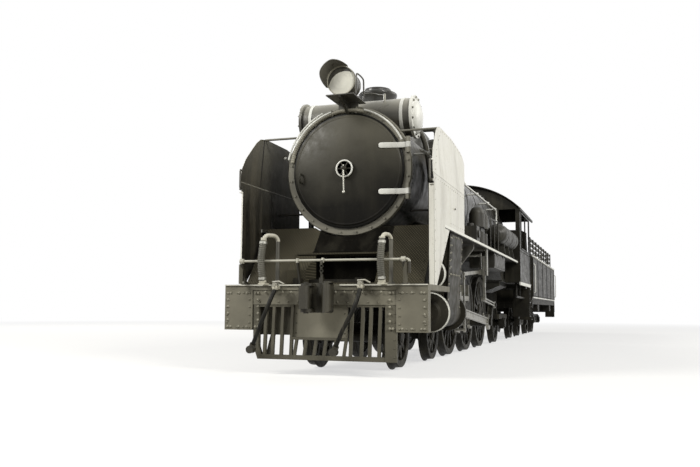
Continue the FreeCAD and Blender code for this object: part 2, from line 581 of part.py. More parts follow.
def smokebox_door():
    """Dished door on two strap hinges, closed by a handwheel with a locking handle."""
    x0 = SMOKEBOX_X[0] + 6
    door = lathe("x", (x0, 0, BOILER_Z), [
        (0, 0), (0, DOOR_R), (22, DOOR_R), (34, DOOR_R - 40), (70, DOOR_R - 160), (100, DOOR_R - 330),
        (116, 160), (120, 0)])
    parts = [door, drum((x0 + 110, 0, BOILER_Z), (x0 + 205, 0, BOILER_Z), 34),
             lathe("x", (x0 + 155, 0, BOILER_Z), [(-11, 92), (-11, 112), (11, 112), (11, 92)])]
    for i in range(6):
        a = math.radians(30 + 60 * i)
        parts.append(drum((x0 + 155, 20 * math.sin(a), BOILER_Z + 20 * math.cos(a)),
                          (x0 + 155, 100 * math.sin(a), BOILER_Z + 100 * math.cos(a)), 9))
    parts.append(drum((x0 + 190, 0, BOILER_Z + 40), (x0 + 195, 10, BOILER_Z - 300), 13))
    parts.append(ball((x0 + 195, 10, BOILER_Z - 300), 20))
    for z in STRAP_Z:
        strap = prism("z", [(HINGE_X + 4, HINGE_Y), (HINGE_X + 24, HINGE_Y), (x0 + 66, 660), (x0 + 108, 430),
                            (x0 + 70, 430), (x0 + 30, 620), (x0 + 2, 720), (HINGE_X - 20, HINGE_Y)],
                      z - 35, z + 35)
        eye = drum((HINGE_X, HINGE_Y, z - 35), (HINGE_X, HINGE_Y, z + 35), 30)
        parts += [strap, eye]
    door = join(parts)
    door = door.cut([drum((HINGE_X, HINGE_Y, z - 60), (HINGE_X, HINGE_Y, z + 60), 15 + FIT)
                     for z in STRAP_Z])
    save("smokebox_door", door)


def heater_body():
    """Feed-water heater drum across the smokebox top, with flanged domed ends."""
    h, r = HEATER_HALF, HEATER_R
    rows = [(-h - 66, 0), (-h - 60, 90), (-h - 38, 170), (-h, 215), (-h, r + 30), (-h + 40, r + 30), (-h + 40, r)]
    return lathe("y", (HEATER_X, 0, HEATER_Z), rows + [(-s, radius) for s, radius in reversed(rows)])


def heater():
    """The heater's drum with its clips, bolted flanges and the pipes down each side."""
    parts, h, r = [heater_body()], HEATER_HALF, HEATER_R
    for y in (-662, 0, 662):
        parts.append(lathe("y", (HEATER_X, y, HEATER_Z), [(-22, r - 20), (-22, r + 6), (22, r + 6), (22, r - 20)]))
    for s in (-1, 1):
        for i in range(12):
            a = math.radians(30 * i + 15)
            x, z = HEATER_X + (r + 14) * math.cos(a), HEATER_Z + (r + 14) * math.sin(a)
            parts.append(drum((x, s * (h - 10), z), (x, s * (h + 14), z), 11))
        x = HEATER_X - 420
        parts.append(tube([(HEATER_X - 150, s * 690, HEATER_Z - 130), (HEATER_X - 260, s * 820, HEATER_Z - 320),
                           (x, s * 862, BOILER_Z - 60), (x, s * 850, 1900), (x, s * 850, BOARD_TOP - 10)], 38, 120))
    save("feedwater_heater", join(parts))


def boiler():
    """Lagged barrel with its bands, on the smokebox's back."""
    x0, x1 = SMOKEBOX_X[1], BARREL_BACK
    parts = [drum((x0, 0, BOILER_Z), (x1, 0, BOILER_Z), BARREL_R)]
    n = 6
    for i in range(n):
        x = x0 - 60 + (x1 - x0 + 120) * i / (n - 1)
        parts.append(drum((x - 28, 0, BOILER_Z), (x + 28, 0, BOILER_Z), BARREL_R + 6))
    save("boiler_barrel", join(parts))


def firebox():
    """Wide round-topped firebox with its foundation ring over the trailing truck."""
    x0, x1 = BARREL_BACK, FIREBOX_BACK
    top = drum((x0, 0, BOILER_Z), (x1, 0, BOILER_Z), BARREL_R + 3)
    hips = prism("x", [(-BARREL_R - 3, BOILER_Z), (-930, 1500), (-930, 1330), (930, 1330), (930, 1500),
                       (BARREL_R + 3, BOILER_Z)], x0, x1)
    throat = prism("y", [(x0 + 10, 1700), (x0 - 500, 1320), (x0 + 10, 1320)], -940, 940)
    body = join([top, hips]).cut(throat)
    ring = block((x0 - 510, x1), (-945, 945), (1300, 1360))
    pan = prism("x", [(-880, 1300), (-880, 1220), (-560, 1090), (560, 1090), (880, 1220), (880, 1300)],
                x0 - 560, x1 + 180)
    parts = [body, ring, pan]
    for s in (-1, 1):
        for i in range(5):
            x = x0 - 250 - 330 * i
            a = math.radians(38)
            y, z = s * BARREL_R * math.sin(a), BOILER_Z + BARREL_R * math.cos(a)
            parts.append(drum((x, y * 0.97, z - 20), (x, y * 1.05, z + 30), 34))
    for x, s in ((-8000, 1), (-8000, -1), (-8800, 1), (-8800, -1)):
        y0, y1 = sorted((s * (FRAME_IN - 30), s * (FRAME_OUT + 40)))
        parts.append(block((x - 60, x + 60), (y0, y1), (FRAME_TOP, 1130)))
    save("firebox", join(parts))


def chimney():
    """Cast chimney on its saddle: flared cap with the narrower inner lip above it,
    open down to the smokebox."""
    z, bore = BOILER_Z + SMOKEBOX_R, 165.0
    body = lathe("z", (CHIMNEY_X, 0, 0), [
        (z - 60, bore), (z - 60, 330), (z + 30, 322), (z + 90, 276), (z + 130, 262), (z + 400, 268),
        (z + 440, 292), (z + 460, 300), (z + 488, 300), (z + 500, 286), (z + 500, 216), (CHIMNEY_TOP - 30, 204),
        (CHIMNEY_TOP - 12, 200), (CHIMNEY_TOP, 190), (CHIMNEY_TOP, bore)])
    saddle = drum((CHIMNEY_X, 0, z - 160), (CHIMNEY_X, 0, z + 24), 390)
    saddle = saddle.cut(drum((CHIMNEY_X, 0, z - 200), (CHIMNEY_X, 0, z + 100), 250))
    save("chimney", join([body, saddle]).cut([drum((SMOKEBOX_X[1], 0, BOILER_Z), (0, 0, BOILER_Z), SMOKEBOX_R),
                                              heater_body()]))


def domes():
    """Sand dome ahead and steam dome behind, on the barrel's top."""
    barrel = drum((-8000, 0, BOILER_Z), (0, 0, BOILER_Z), BARREL_R)
    solids = []
    for x, r, top in ((-3650, 400, 3560), (-5450, 420, 3600)):
        z = BOILER_Z + BARREL_R
        body = lathe("z", (x, 0, 0), [
            (z - 150, 0), (z - 150, r + 60), (z - 20, r + 20), (z + 60, r), (top - 120, r - 4),
            (top - 45, r - 60), (top - 10, r - 170), (top, 0)])
        solids.append(body.cut(barrel))
    solids[0] = join([solids[0], drum((-3650, 0, 3550), (-3650, 0, 3590), 150)])
    valves = []
    for y in (-130, 130):
        valves += [drum((-6250, y, 3230), (-6250, y, 3420), 62), drum((-6250, y, 3420), (-6250, y, 3480), 40)]
    valves.append(block((-6350, -6150), (-220, 220), (3200, 3290)))
    solids.append(join(valves).cut(barrel))
    save("domes", solids)


def headlamp():
    """Headlamp with its slim hood on a bracket rising from the smokebox ring."""
    x, z, ring_top = -567.0, 3530.0, BOILER_Z + RING_R
    case = lathe("x", (x, 0, z), [(-400, 0), (-398, 60), (-380, 110), (-340, 150), (-300, 163), (-60, 165), (-50, 190),
                                  (0, 190), (0, 173), (-30, 173), (-60, 150), (-110, 60), (-110, 0)])
    hood = lathe("x", (x, 0, z), [(-20, 184), (-20, 196), (120, 232), (215, 262), (215, 252), (120, 222)])
    hood = hood.cut([prism("x", [(-400, z - 400), (-400, z + 120), (0, z - 30), (400, z + 170), (400, z - 400)],
                           x - 60, x + 300),
                     prism("y", [(x - 60, z - 60), (x + 60, z), (x + 300, z + 150), (x + 300, z - 300),
                                 (x - 60, z - 300)], -400, 400)])
    bracket = [prism("y", [(-1000, 3352), (-500, 3352), (-500, 3334), (-640, 3318), (-760, 3226), (-846, 3198),
                           (-890, 3198), (-960, 3250), (-1000, 3334)], -14, 14),
               prism("y", [(-884, 3290), (-862, 3290), (-862, 3198), (-884, 3198)], -120, 120),
               block((-1000, -500), (-180, 180), (3334, 3350)),
               block((-884, -860), (-150, 150), (ring_top - 20, 3340)),
               prism("y", [(-940, 3350), (-600, 3350), (-640, 3420), (-900, 3420)], -90, 90)]
    frame = [tube([(-560, s * 205, 3342), (-560, s * 205, 3700), (-860, s * 205, 3700), (-860, s * 205, 3342)],
                  9, 40) for s in (1,)]
    foot = [block((-572, -548), (176, 218), (3334, 3350)), block((-872, -848), (176, 218), (3334, 3350))]
    cable = tube([(-860, 205, 3420), (-930, 300, 3470), (HEATER_X + 150, 380, 3498)], 9, 60)
    body = join([case, hood, cable] + frame + foot + bracket)
    body = body.cut([drum((-3000, 0, BOILER_Z), (SMOKEBOX_X[0], 0, BOILER_Z), RING_R), heater_body()])
    save("headlamp", [s for s in body.Solids if s.Volume > 1e5])
    lens = lathe("x", (x, 0, z), [(-29.6, 0), (-29.6, 172.6), (-22, 172.6), (-8, 95), (-4, 0)])
    save("headlamp_lens", lens)


def turbo_generator():
    """Lighting turbo-generator drum beside the chimney, on a bracket."""
    x, y, z = -2350.0, 800.0, 2930.0
    parts = [lathe("x", (x, y, z), [(-260, 0), (-260, 90), (-230, 125), (-40, 125), (-40, 170), (60, 170),
                                    (60, 135), (240, 135), (270, 100), (270, 0)]),
             block((x - 150, x + 150), (y - 260, y + 60), (z - 170, z - 120)),
             tube([(x, y, z + 60), (x, y, z + 330), (x, y - 200, z + 330)], 30, 60)]
    body = join(parts)
    return body.cut(drum((-3500, 0, BOILER_Z), (0, 0, BOILER_Z), SMOKEBOX_R))


# ---- cylinders and motion -----------------------------------------------------
def cylinders():
    """Both cylinders with valve chests over them and the saddle between the frames."""
    x0, x1 = CYL_X
    side = [drum((x0, CYL_Y, CYL_Z), (x1, CYL_Y, CYL_Z), CLAD_R),
            drum((x0 + 20, CYL_Y, CYL_Z), (x0 - 45, CYL_Y, CYL_Z), CYL_R),
            drum((x1 - 20, CYL_Y, CYL_Z), (x1 + 55, CYL_Y, CYL_Z), CYL_R),
            lathe("x", (x0 + 20, CYL_Y, CYL_Z), [(0, 0), (0, CYL_R - 10), (34, CYL_R - 14), (60, 150), (92, 120),
                                                (100, 0)]),
            drum((x1 - 20, CYL_Y, CYL_Z), (x1 - 60, CYL_Y, CYL_Z), 210),
            drum((x1 - 60, CYL_Y, CYL_Z), (x1 - 120, CYL_Y, CYL_Z), 80),
            drum((x0, CYL_Y, VALVE_Z), (x1, CYL_Y, VALVE_Z), VALVE_R - 12),
            drum((x0 + 30, CYL_Y, VALVE_Z), (x0 - 40, CYL_Y, VALVE_Z), VALVE_R),
            drum((x1 - 30, CYL_Y, VALVE_Z), (x1 + 40, CYL_Y, VALVE_Z), VALVE_R),
            lathe("x", (x0 + 30, CYL_Y, VALVE_Z), [(0, 0), (0, VALVE_R - 8), (26, VALVE_R - 14), (52, 70), (52, 0)]),
            drum((x1 - 30, CYL_Y, VALVE_Z), (x1 - 110, CYL_Y, VALVE_Z), 60),
            block((x0 - 60, x1 + 60), (CYL_Y - 150, CYL_Y + 150), (CYL_Z, VALVE_Z)),
            block((-1750, -2420), (FRAME_OUT - 5, CYL_Y), (CYL_Z - 60, VALVE_Z + 120))]
    saddle = [block((-1700, -2420), (-FRAME_OUT, FRAME_OUT), (FRAME_TOP, 1300)),
              prism("x", [(-600, 1250), (-420, 1500), (-520, 1800), (520, 1800), (420, 1500), (600, 1250)],
                    -1650, -2420)]
    steam = [tube([(-2050, 420, 1900), (-2050, 900, 1700), (-2050, 900, 1300)], 95, 160)]
    for i in range(12):
        a = math.radians(30 * i)
        y, z = CYL_Y + (CYL_R - 26) * math.cos(a), CYL_Z + (CYL_R - 26) * math.sin(a)
        side.append(drum((x0, y, z), (x0 + 34, y, z), 13))
    whole = join(both(join(side + steam)) + saddle)
    whole = whole.cut(drum((-3000, 0, BOILER_Z), (0, 0, BOILER_Z), SMOKEBOX_R))
    whole = whole.cut(block((-1500, -2600), (-FRAME_OUT - 0.0, FRAME_OUT), (900, FRAME_TOP)))
    save("cylinders", [s for s in whole.Solids if s.Volume > 1e6] + jackets())


JACKET_X = (-1430.0, -2260.0)


def jackets():
    """Riveted cladding plates down the outside of cylinder and valve chest, leaning
    out to the running board, with the drain-cock ledge below them."""
    x0, x1 = JACKET_X
    low, top = 700.0, BOARD_TOP - BOARD_T - 4
    y0, y1, t = CYL_Y + CLAD_R - 8, BOARD_OUT - 44, 10.0
    plate = prism("x", [(y0, low), (y0 + t, low), (y1 + t, top), (y1, top)], x1, x0)
    parts = [plate, block((x0, x1), (CYL_Y + 60, y1 + 4), (top - 26, top)),
             block((x0 + 100, -3020), (CYL_Y + 112, y0 + t), (655, 682)),
             block((x0 + 20, x1), (CYL_Y + 100, y0 + t), (680, low + 14))]
    for x in (x0 - 26, x1 + 26):
        parts.append(prism("x", [(CYL_Y, VALVE_Z + 60), (CYL_Y, top), (y1 + 2, top), (y0 + 12, VALVE_Z - 260)],
                           x - 6, x + 6))
    slope = (y1 - y0) / (top - low)
    rivets = [(x, z) for x in (x0 - 40, x1 + 40) for z in range(750, int(top), 105)]
    rivets += [(x, top - 40) for x in range(int(x1) + 140, int(x0) - 80, 120)]
    parts += [lathe("y", (x, y0 + t - 2 + slope * (z - low), z), [(0, 0), (0, 13), (7, 9), (10, 0)])
              for x, z in rivets]
    body = join(parts).cut([drum((0, CYL_Y, CYL_Z), (-3000, CYL_Y, CYL_Z), CLAD_R),
                            drum((CYL_X[0] - 46, CYL_Y, CYL_Z), (CYL_X[0] + 60, CYL_Y, CYL_Z), CYL_R),
                            drum((CYL_X[1] + 56, CYL_Y, CYL_Z), (CYL_X[1] - 55, CYL_Y, CYL_Z), CYL_R),
                            block((CYL_X[0], CYL_X[1]), (CYL_Y - 150, CYL_Y + 150), (CYL_Z, VALVE_Z)),
                            drum((0, CYL_Y, VALVE_Z), (-3000, CYL_Y, VALVE_Z), VALVE_R)])
    return both(join([b for b in body.Solids if b.Volume > 1e5]))


GUIDE_X = (CYL_X[1] - 60.0, -3860.0)
YOKE_X = (-3440.0, -3475.0)     # guide yoke, clear ahead of the leading drivers


def slide_bars():
    """Slide bar above the piston rod on each side, carried by the guide yoke."""
    inner = (CYL_Y - 95, CYL_Y - 70)
    low = CYL_Z + 170
    parts = [block(GUIDE_X, (CYL_Y - 45, CYL_Y + 40), (low, low + 70)),
             prism("x", [(FRAME_OUT - 2, FRAME_TOP - 90), (FRAME_OUT - 2, 1640), (BOARD_OUT - 90, 1700),
                         (BOARD_OUT - 90, 1640), (CYL_Y + 30, 1440), (inner[1], 1300),
                         (inner[1], FRAME_TOP - 90)], YOKE_X[1], YOKE_X[0]),
             block((YOKE_X[0], GUIDE_X[1]), inner, (low + 90, low + 250)),
             block((GUIDE_X[1] + 40, GUIDE_X[1]), (inner[0], CYL_Y + 40), (low - 10, low + 250))]
    return both(join(parts))


def crossheads():
    """Crosshead hung from the slide bar, with the piston rod it drives."""
    solids = slide_bars()
    for side in (1, -1):
        hx, hz = crosshead_pin(side)
        y0, y1 = CYL_Y - 48, CYL_Y + 36
        parts = [drum((CYL_X[1] - 118, CYL_Y, CYL_Z), (hx, CYL_Y, CYL_Z), 40),
                 prism("y", [(hx - 190, CYL_Z + 168), (hx + 190, CYL_Z + 168), (hx + 150, CYL_Z + 90),
                             (hx + 90, CYL_Z - 80), (hx + 40, CYL_Z - 130), (hx - 40, CYL_Z - 130),
                             (hx - 100, CYL_Z - 60), (hx - 150, CYL_Z + 90)], y0, y1),
                 block((hx - 190, hx + 190), (CYL_Y - 60, CYL_Y - 47), (CYL_Z + 100, CYL_Z + 300)),
                 block((hx - 190, hx + 190), (CYL_Y - 60, CYL_Y + 36), (CYL_Z + 242, CYL_Z + 300)),
                 drum((hx, y1, hz), (hx, y1 + 8, hz), 62)]
        body = join(parts)
        solids.append(body if side > 0 else mirrored(body))
    save("slide_bars_and_crossheads", solids)


def valve_gear():
    """Walschaerts gear outside the rods: crosshead arm, union link, combination
    lever, radius rod, curved expansion link, lifting arm and valve spindle."""
    solids = []
    for side in (1, -1):
        hx, _ = crosshead_pin(side)
        lever_x = CYL_X[1] - 400.0
        y = (1056.0, 1080.0)
        link_x, link_z = LINK_FOOT[0] + 20, 1330.0
        union_z = CYL_Z - 270
        union_y = (CYL_Y + 14, CYL_Y + 40)      # inside the main rod's plane
        parts = [block((hx - 45, hx + 45), (CYL_Y - 30, CYL_Y + 20), (union_z - 30, CYL_Z - 129)),
                 bar_between((hx, union_z), (lever_x, union_z + 20), union_y, 22, 34, 34),
                 bar_between((lever_x, union_z + 20), (lever_x + 30, VALVE_Z + 60), (y[1], y[1] + 22), 26, 36, 36),
                 drum((lever_x, union_y[0] + 4, union_z + 20), (lever_x, y[1] + 30, union_z + 20), 18),
                 drum((lever_x + 28, CYL_Y - 20, VALVE_Z), (lever_x + 28, y[1] + 30, VALVE_Z), 20),
                 drum((lever_x + 30, y[0], VALVE_Z + 60), (lever_x + 30, y[1] + 30, VALVE_Z + 60), 18),
                 drum((CYL_X[1] - 100, CYL_Y, VALVE_Z), (lever_x - 60, CYL_Y, VALVE_Z), 28),
                 block((lever_x - 40, lever_x + 90), (CYL_Y - 45, CYL_Y + 45), (VALVE_Z - 45, VALVE_Z + 45)),
                 block((CYL_X[1] - 80, lever_x - 220), (CYL_Y - 40, CYL_Y + 40), (VALVE_Z + 60, VALVE_Z + 90)),
                 block((CYL_X[1] - 110, CYL_X[1] - 70), (CYL_Y - 60, CYL_Y + 60), (VALVE_Z - 60, VALVE_Z + 90)),
                 bar_between((lever_x + 30, VALVE_Z + 60), (link_x, link_z), y, 26, 38, 46)]
        # expansion link: a slotted arc whose centre lies a radius rod's length ahead
        y2 = (1084.0 + 46, 1084.0 + 84)
        rad = lever_x - link_x
        ring = lathe("y", (link_x + rad, 0, link_z), [(y2[0], rad - 48), (y2[0], rad + 48), (y2[1], rad + 48),
                                                      (y2[1], rad - 48)])
        keep = block((link_x - 200, link_x + 200), (0, 2000), (link_z - 250, link_z + 250))
        slot = lathe("y", (link_x + rad, 0, link_z), [(y2[0] - 5, rad - 20), (y2[0] - 5, rad + 20),
                                                      (y2[1] + 5, rad + 20), (y2[1] + 5, rad - 20)])
        slot = slot.common(block((link_x - 200, link_x + 200), (0, 2000), (link_z - 200, link_z + 200)))
        link = ring.common(keep).cut(slot)
        foot = bar_between((link_x + 20, link_z - 215), LINK_FOOT, y2, 26, 40, 36)
        block_ = block((link_x - 19, link_x + 19), (y[0], y2[1]), (link_z - 45, link_z + 45))
        trunnion = [drum((link_x, y2[0] + 2, link_z + 120), (link_x, y2[1] + 34, link_z + 120), 26),
                    block((link_x - 60, link_x + 60), (y2[1] + 10, y2[1] + 34), (link_z - 60, BOARD_TOP - BOARD_T)),
                    block((link_x - 60, link_x + 60), (BOARD_IN, y2[1] + 34), (BOARD_TOP - 70, BOARD_TOP - BOARD_T)),
                    bar_between((link_x - 150, link_z + 290), (link_x - 170, link_z + 15), y, 20, 34, 30),
                    bar_between((link_x, link_z), (link_x - 170, link_z + 15), y, 24, 40, 30),
                    drum((link_x - 150, FRAME_OUT, link_z + 290), (link_x - 150, y[1], link_z + 290), 34)]
        body = join(parts + [link, foot, block_] + trunnion)
        solids.append(body if side > 0 else mirrored(body))
    save("valve_gear", solids)


# ---- platforms, plating and fittings ------------------------------------------
def running_boards():
    """Side platforms with a pressed edge, on brackets from the boiler."""
    front = -930.0
    parts = [block((front, CAB_X[0]), (BOARD_IN, BOARD_OUT), (BOARD_TOP - BOARD_T, BOARD_TOP)),
             block((front, CAB_X[0]), (BOARD_OUT - 12, BOARD_OUT), (BOARD_TOP - 48, BOARD_TOP))]
    for x in (-2600, -3500, -4700, -5600, -6500, -7300):
        parts.append(prism("x", [(700, BOARD_TOP - 90), (BOARD_OUT - 40, BOARD_TOP - BOARD_T),
                                 (500, BOARD_TOP - BOARD_T), (420, BOARD_TOP + 250), (520, BOARD_TOP + 250)],
                           x - 8, x + 8))
    body = join(parts).cut([drum((-3000, 0, BOILER_Z), (0, 0, BOILER_Z), SMOKEBOX_R),
                            drum((-9000, 0, BOILER_Z), (-2900, 0, BOILER_Z), BARREL_R)])
    body = join([s for s in body.Solids if s.Volume > 1e6])
    save("running_boards", both(body))


DEFLECTOR_Y, CREASE_Z, LEAN = 1220.0, 2280.0, 0.08
NOSE_Y = DEFLECTOR_Y - 43   # folded front edge


def deflectors():
    """Smoke deflector sheets: upright below a crease and leaning inwards above it,
    with a folded nose, grab bar, seam and rod stays to the smokebox."""
    t, y = 8.0, DEFLECTOR_Y
    fold, nose, shelf = -360.0, -296.0, 2150.0
    low = [(fold, DECK_TOP), (fold, shelf), (nose, CREASE_Z), (-2205, CREASE_Z), (-2205, BOARD_TOP),
           (-1240, BOARD_TOP), (-1175, BOARD_TOP - 65), (-470, DECK_TOP)]
    high = [(nose, CREASE_Z), (-325, 2450), (-400, 2580), (-560, 2745), (-660, 2840), (-760, 2905), (-930, 2935),
            (-1600, 2935), (-2150, 2875), (-2300, 2840), (-2380, 2800), (-2430, 2740), (-2330, 2510),
            (-2205, CREASE_Z)]
    pts = [V(x, y - LEAN * (z - CREASE_Z), z) for x, z in high]
    upper = Part.Face(Part.makePolygon(pts + pts[:1])).extrude(V(0, -t, 0))
    flap = prism("z", [(fold, y), (fold, y - t), (nose, NOSE_Y - t), (nose, NOSE_Y)], DECK_TOP, shelf)
    cheek = prism("z", [(fold - 8, y), (fold - 8, y - t), (nose, NOSE_Y - t), (nose, NOSE_Y), (nose, y), (fold, y)],
                  shelf - t, shelf)
    bars = [drum((nose - 12, y - 4, CREASE_Z), (-2205, y - 4, CREASE_Z), 8),
            drum((-1240, y - 4, BOARD_TOP), (-1240, y - 4, CREASE_Z), 8),
            tube([(nose - 6, NOSE_Y + 14, 2190), (nose + 40, NOSE_Y + 14, 2190), (nose + 40, NOSE_Y + 14, 2425),
                  (-320, NOSE_Y + 30, 2425)], 12, 24),
            block((nose - 30, nose + 8), (NOSE_Y, y - 2), (2176, 2204))]
    stays = [drum((x, y - LEAN * (z - CREASE_Z) - 4, z), (x, reach, z), 14)
             for x, z, reach in ((-905, 2925, 630), (-1900, 2880, 630), (-1500, 2000, 600))]
    feet = [block((x - 25, x + 25), (y - 60, y - 4), (BOARD_TOP, BOARD_TOP + 60)) for x in (-1250, -1700, -2150)]
    feet += [block((-450, fold + 4), (y - 60, y - 2), (DECK_TOP, DECK_TOP + 50))]
    body = join([prism("y", low, y - t, y), upper, flap, cheek] + bars + stays + feet)
    body = body.cut([drum((-3000, 0, BOILER_Z), (-938, 0, BOILER_Z), SMOKEBOX_R),
                     drum((-938, 0, BOILER_Z), (-700, 0, BOILER_Z), RING_R)])
    save("smoke_deflectors", both(join([b for b in body.Solids if b.Volume > 1e6])))


def pumps():
    """Feed pump on the left running board and air compressor on the right."""
    solids = []
    for side in (1, -1):
        x, y = -4650.0, 1010.0
        z = BOARD_TOP
        body = [block((x - 330, x + 330), (y - 120, y + 120), (z, z + 40)),
                drum((x - 170, y, z + 30), (x - 170, y, z + 250), 120),
                drum((x + 170, y, z + 30), (x + 170, y, z + 250), 120),
                block((x - 200, x + 200), (y - 70, y + 70), (z + 60, z + 330)),
                drum((x - 170, y, z + 330), (x - 170, y, z + 560), 130),
                drum((x + 170, y, z + 330), (x + 170, y, z + 560), 130),
                block((x - 180, x + 180), (y - 100, y + 100), (z + 330, z + 540)),
                ball((x - 170, y, z + 560), 118), ball((x + 170, y, z + 560), 118)]
        body += [drum((x + k, y - 10, z + 200), (x + k, y - 10, z + 400), 26) for k in (-170, 170)]
        body = join(body)
        solids.append(body if side > 0 else mirrored(body))
    save("steam_pumps", solids)


RESERVOIR = (-7270.0, 1068.0, 195.0, BOARD_TOP + 400.0)     # centre x, y, radius, z


def board_fittings():
    """Lubricator boxes ahead of the pumps, domed reservoirs before the cab, the open
    guard rail between them and a tool box slung under each board."""
    lub = join([block((-3700, -3440), (960, 1180), (BOARD_TOP, BOARD_TOP + 250)),
                drum((-3570, 1180, BOARD_TOP + 130), (-3570, 1205, BOARD_TOP + 130), 60),
                drum((-3570, 1060, BOARD_TOP + 250), (-3570, 1060, BOARD_TOP + 300), 50)])
    x, y, r, z = RESERVOIR
    res = [lathe("x", (x, y, z), [(-1010, 0), (-1000, 75), (-965, 140), (-905, 182), (-840, r),
                                  (840, r), (905, 182), (965, 140), (1000, 75), (1010, 0)])]
    for k in (-640, 0, 640):
        res += [lathe("x", (x + k, y, z), [(-26, r - 10), (-26, r + 5), (26, r + 5), (26, r - 10)]),
                prism("x", [(y - 150, BOARD_TOP), (y + 150, BOARD_TOP), (y + 120, BOARD_TOP + 60),
                            (y + 90, z - 120), (y - 90, z - 120), (y - 120, BOARD_TOP + 60)],
                      x + k - 12, x + k + 12)]
    guard = tube([(-5150, 1130, BOARD_TOP - 4), (-5150, 1130, 2290), (-6080, 1130, 2330),
                  (-6080, 1130, BOARD_TOP - 4)], 12, 40)
    rest = drum((-5615, 1130, BOARD_TOP - 4), (-5615, 1130, 2312), 11)
    locker = join([block((-6500, -5150), (760, 1190), (1440, BOARD_TOP - BOARD_T)),
                   block((-6460, -5190), (1186, 1198), (1470, 1670))]
                  + [block((k - 20, k + 20), (1186, 1206), (1640, 1690)) for k in (-6200, -5450)])
    save("board_fittings", both(lub) + both(join(res)) + both(join([guard, rest])) + both(locker)
         + [turbo_generator()])


def handrails():
    """Boiler handrails on knobs, and the curved rails on the smokebox front."""
    y, z, back = 950.0, 2690.0, -7140.0
    _, drum_y, drum_r, drum_z = RESERVOIR
    foot = drum_z + math.sqrt(drum_r ** 2 - (drum_y - y) ** 2) - 6
    rail = [tube([(-1000, y - 30, z), (back, y, z), (back, y, foot)], 16, 60)]
    for x in (-1250, -2500, -3700, -4900, -6100, -7000):
        r = SMOKEBOX_R if x > SMOKEBOX_X[1] else BARREL_R
        root = math.sqrt(r * r - (z - BOILER_Z) ** 2) - 8
        rail += [drum((x, root, z), (x, y - 12, z), 14), ball((x, y - 6, z), 30)]
    solids = both(join(rail))
    x, r = SMOKEBOX_X[0] + 45, RING_R - 40
    for s in (-1, 1):
        arc = []
        for deg in (20, 60):
            a = math.radians(deg)
            arc.append(drum((SMOKEBOX_X[0] - 5, s * r * math.sin(a), BOILER_Z + r * math.cos(a)),
                            (x, s * r * math.sin(a), BOILER_Z + r * math.cos(a)), 12))
        ring = Part.makeTorus(r, 13, V(x, 0, BOILER_Z), V(1, 0, 0))
        wedge = prism("x", [(0, BOILER_Z)] + [(s * 1200 * math.sin(math.radians(d)),
                                               BOILER_Z + 1200 * math.cos(math.radians(d)))
                                              for d in (16, 40, 64)], x - 40, x + 40)
        solids.append(join([ring.common(wedge)] + arc))
    save("handrails", solids)


# ---- cab ----------------------------------------------------------------------
def roof_arc(drop, half):
    """Roof curve at a depth under the outer skin: end, crown, end, as (y, z)."""
    return [V(0, -half, EAVE_Z - drop), V(0, 0, CROWN_Z - drop), V(0, half, EAVE_Z - drop)]


def arched_plate(x0, x1, drop, depth, half):
    a, b = roof_arc(drop, half), roof_arc(drop + depth, half)
    edges = [Part.Arc(*a).toShape(), Part.makeLine(a[2], b[2]), Part.Arc(b[2], b[1], b[0]).toShape(),
             Part.makeLine(b[0], a[0])]
    solid = Part.Face(Part.Wire(edges)).extrude(V(x1 - x0, 0, 0))
    solid.translate(V(x0, 0, 0))
    return solid


WINDOW_Z = (2040.0, 2780.0)


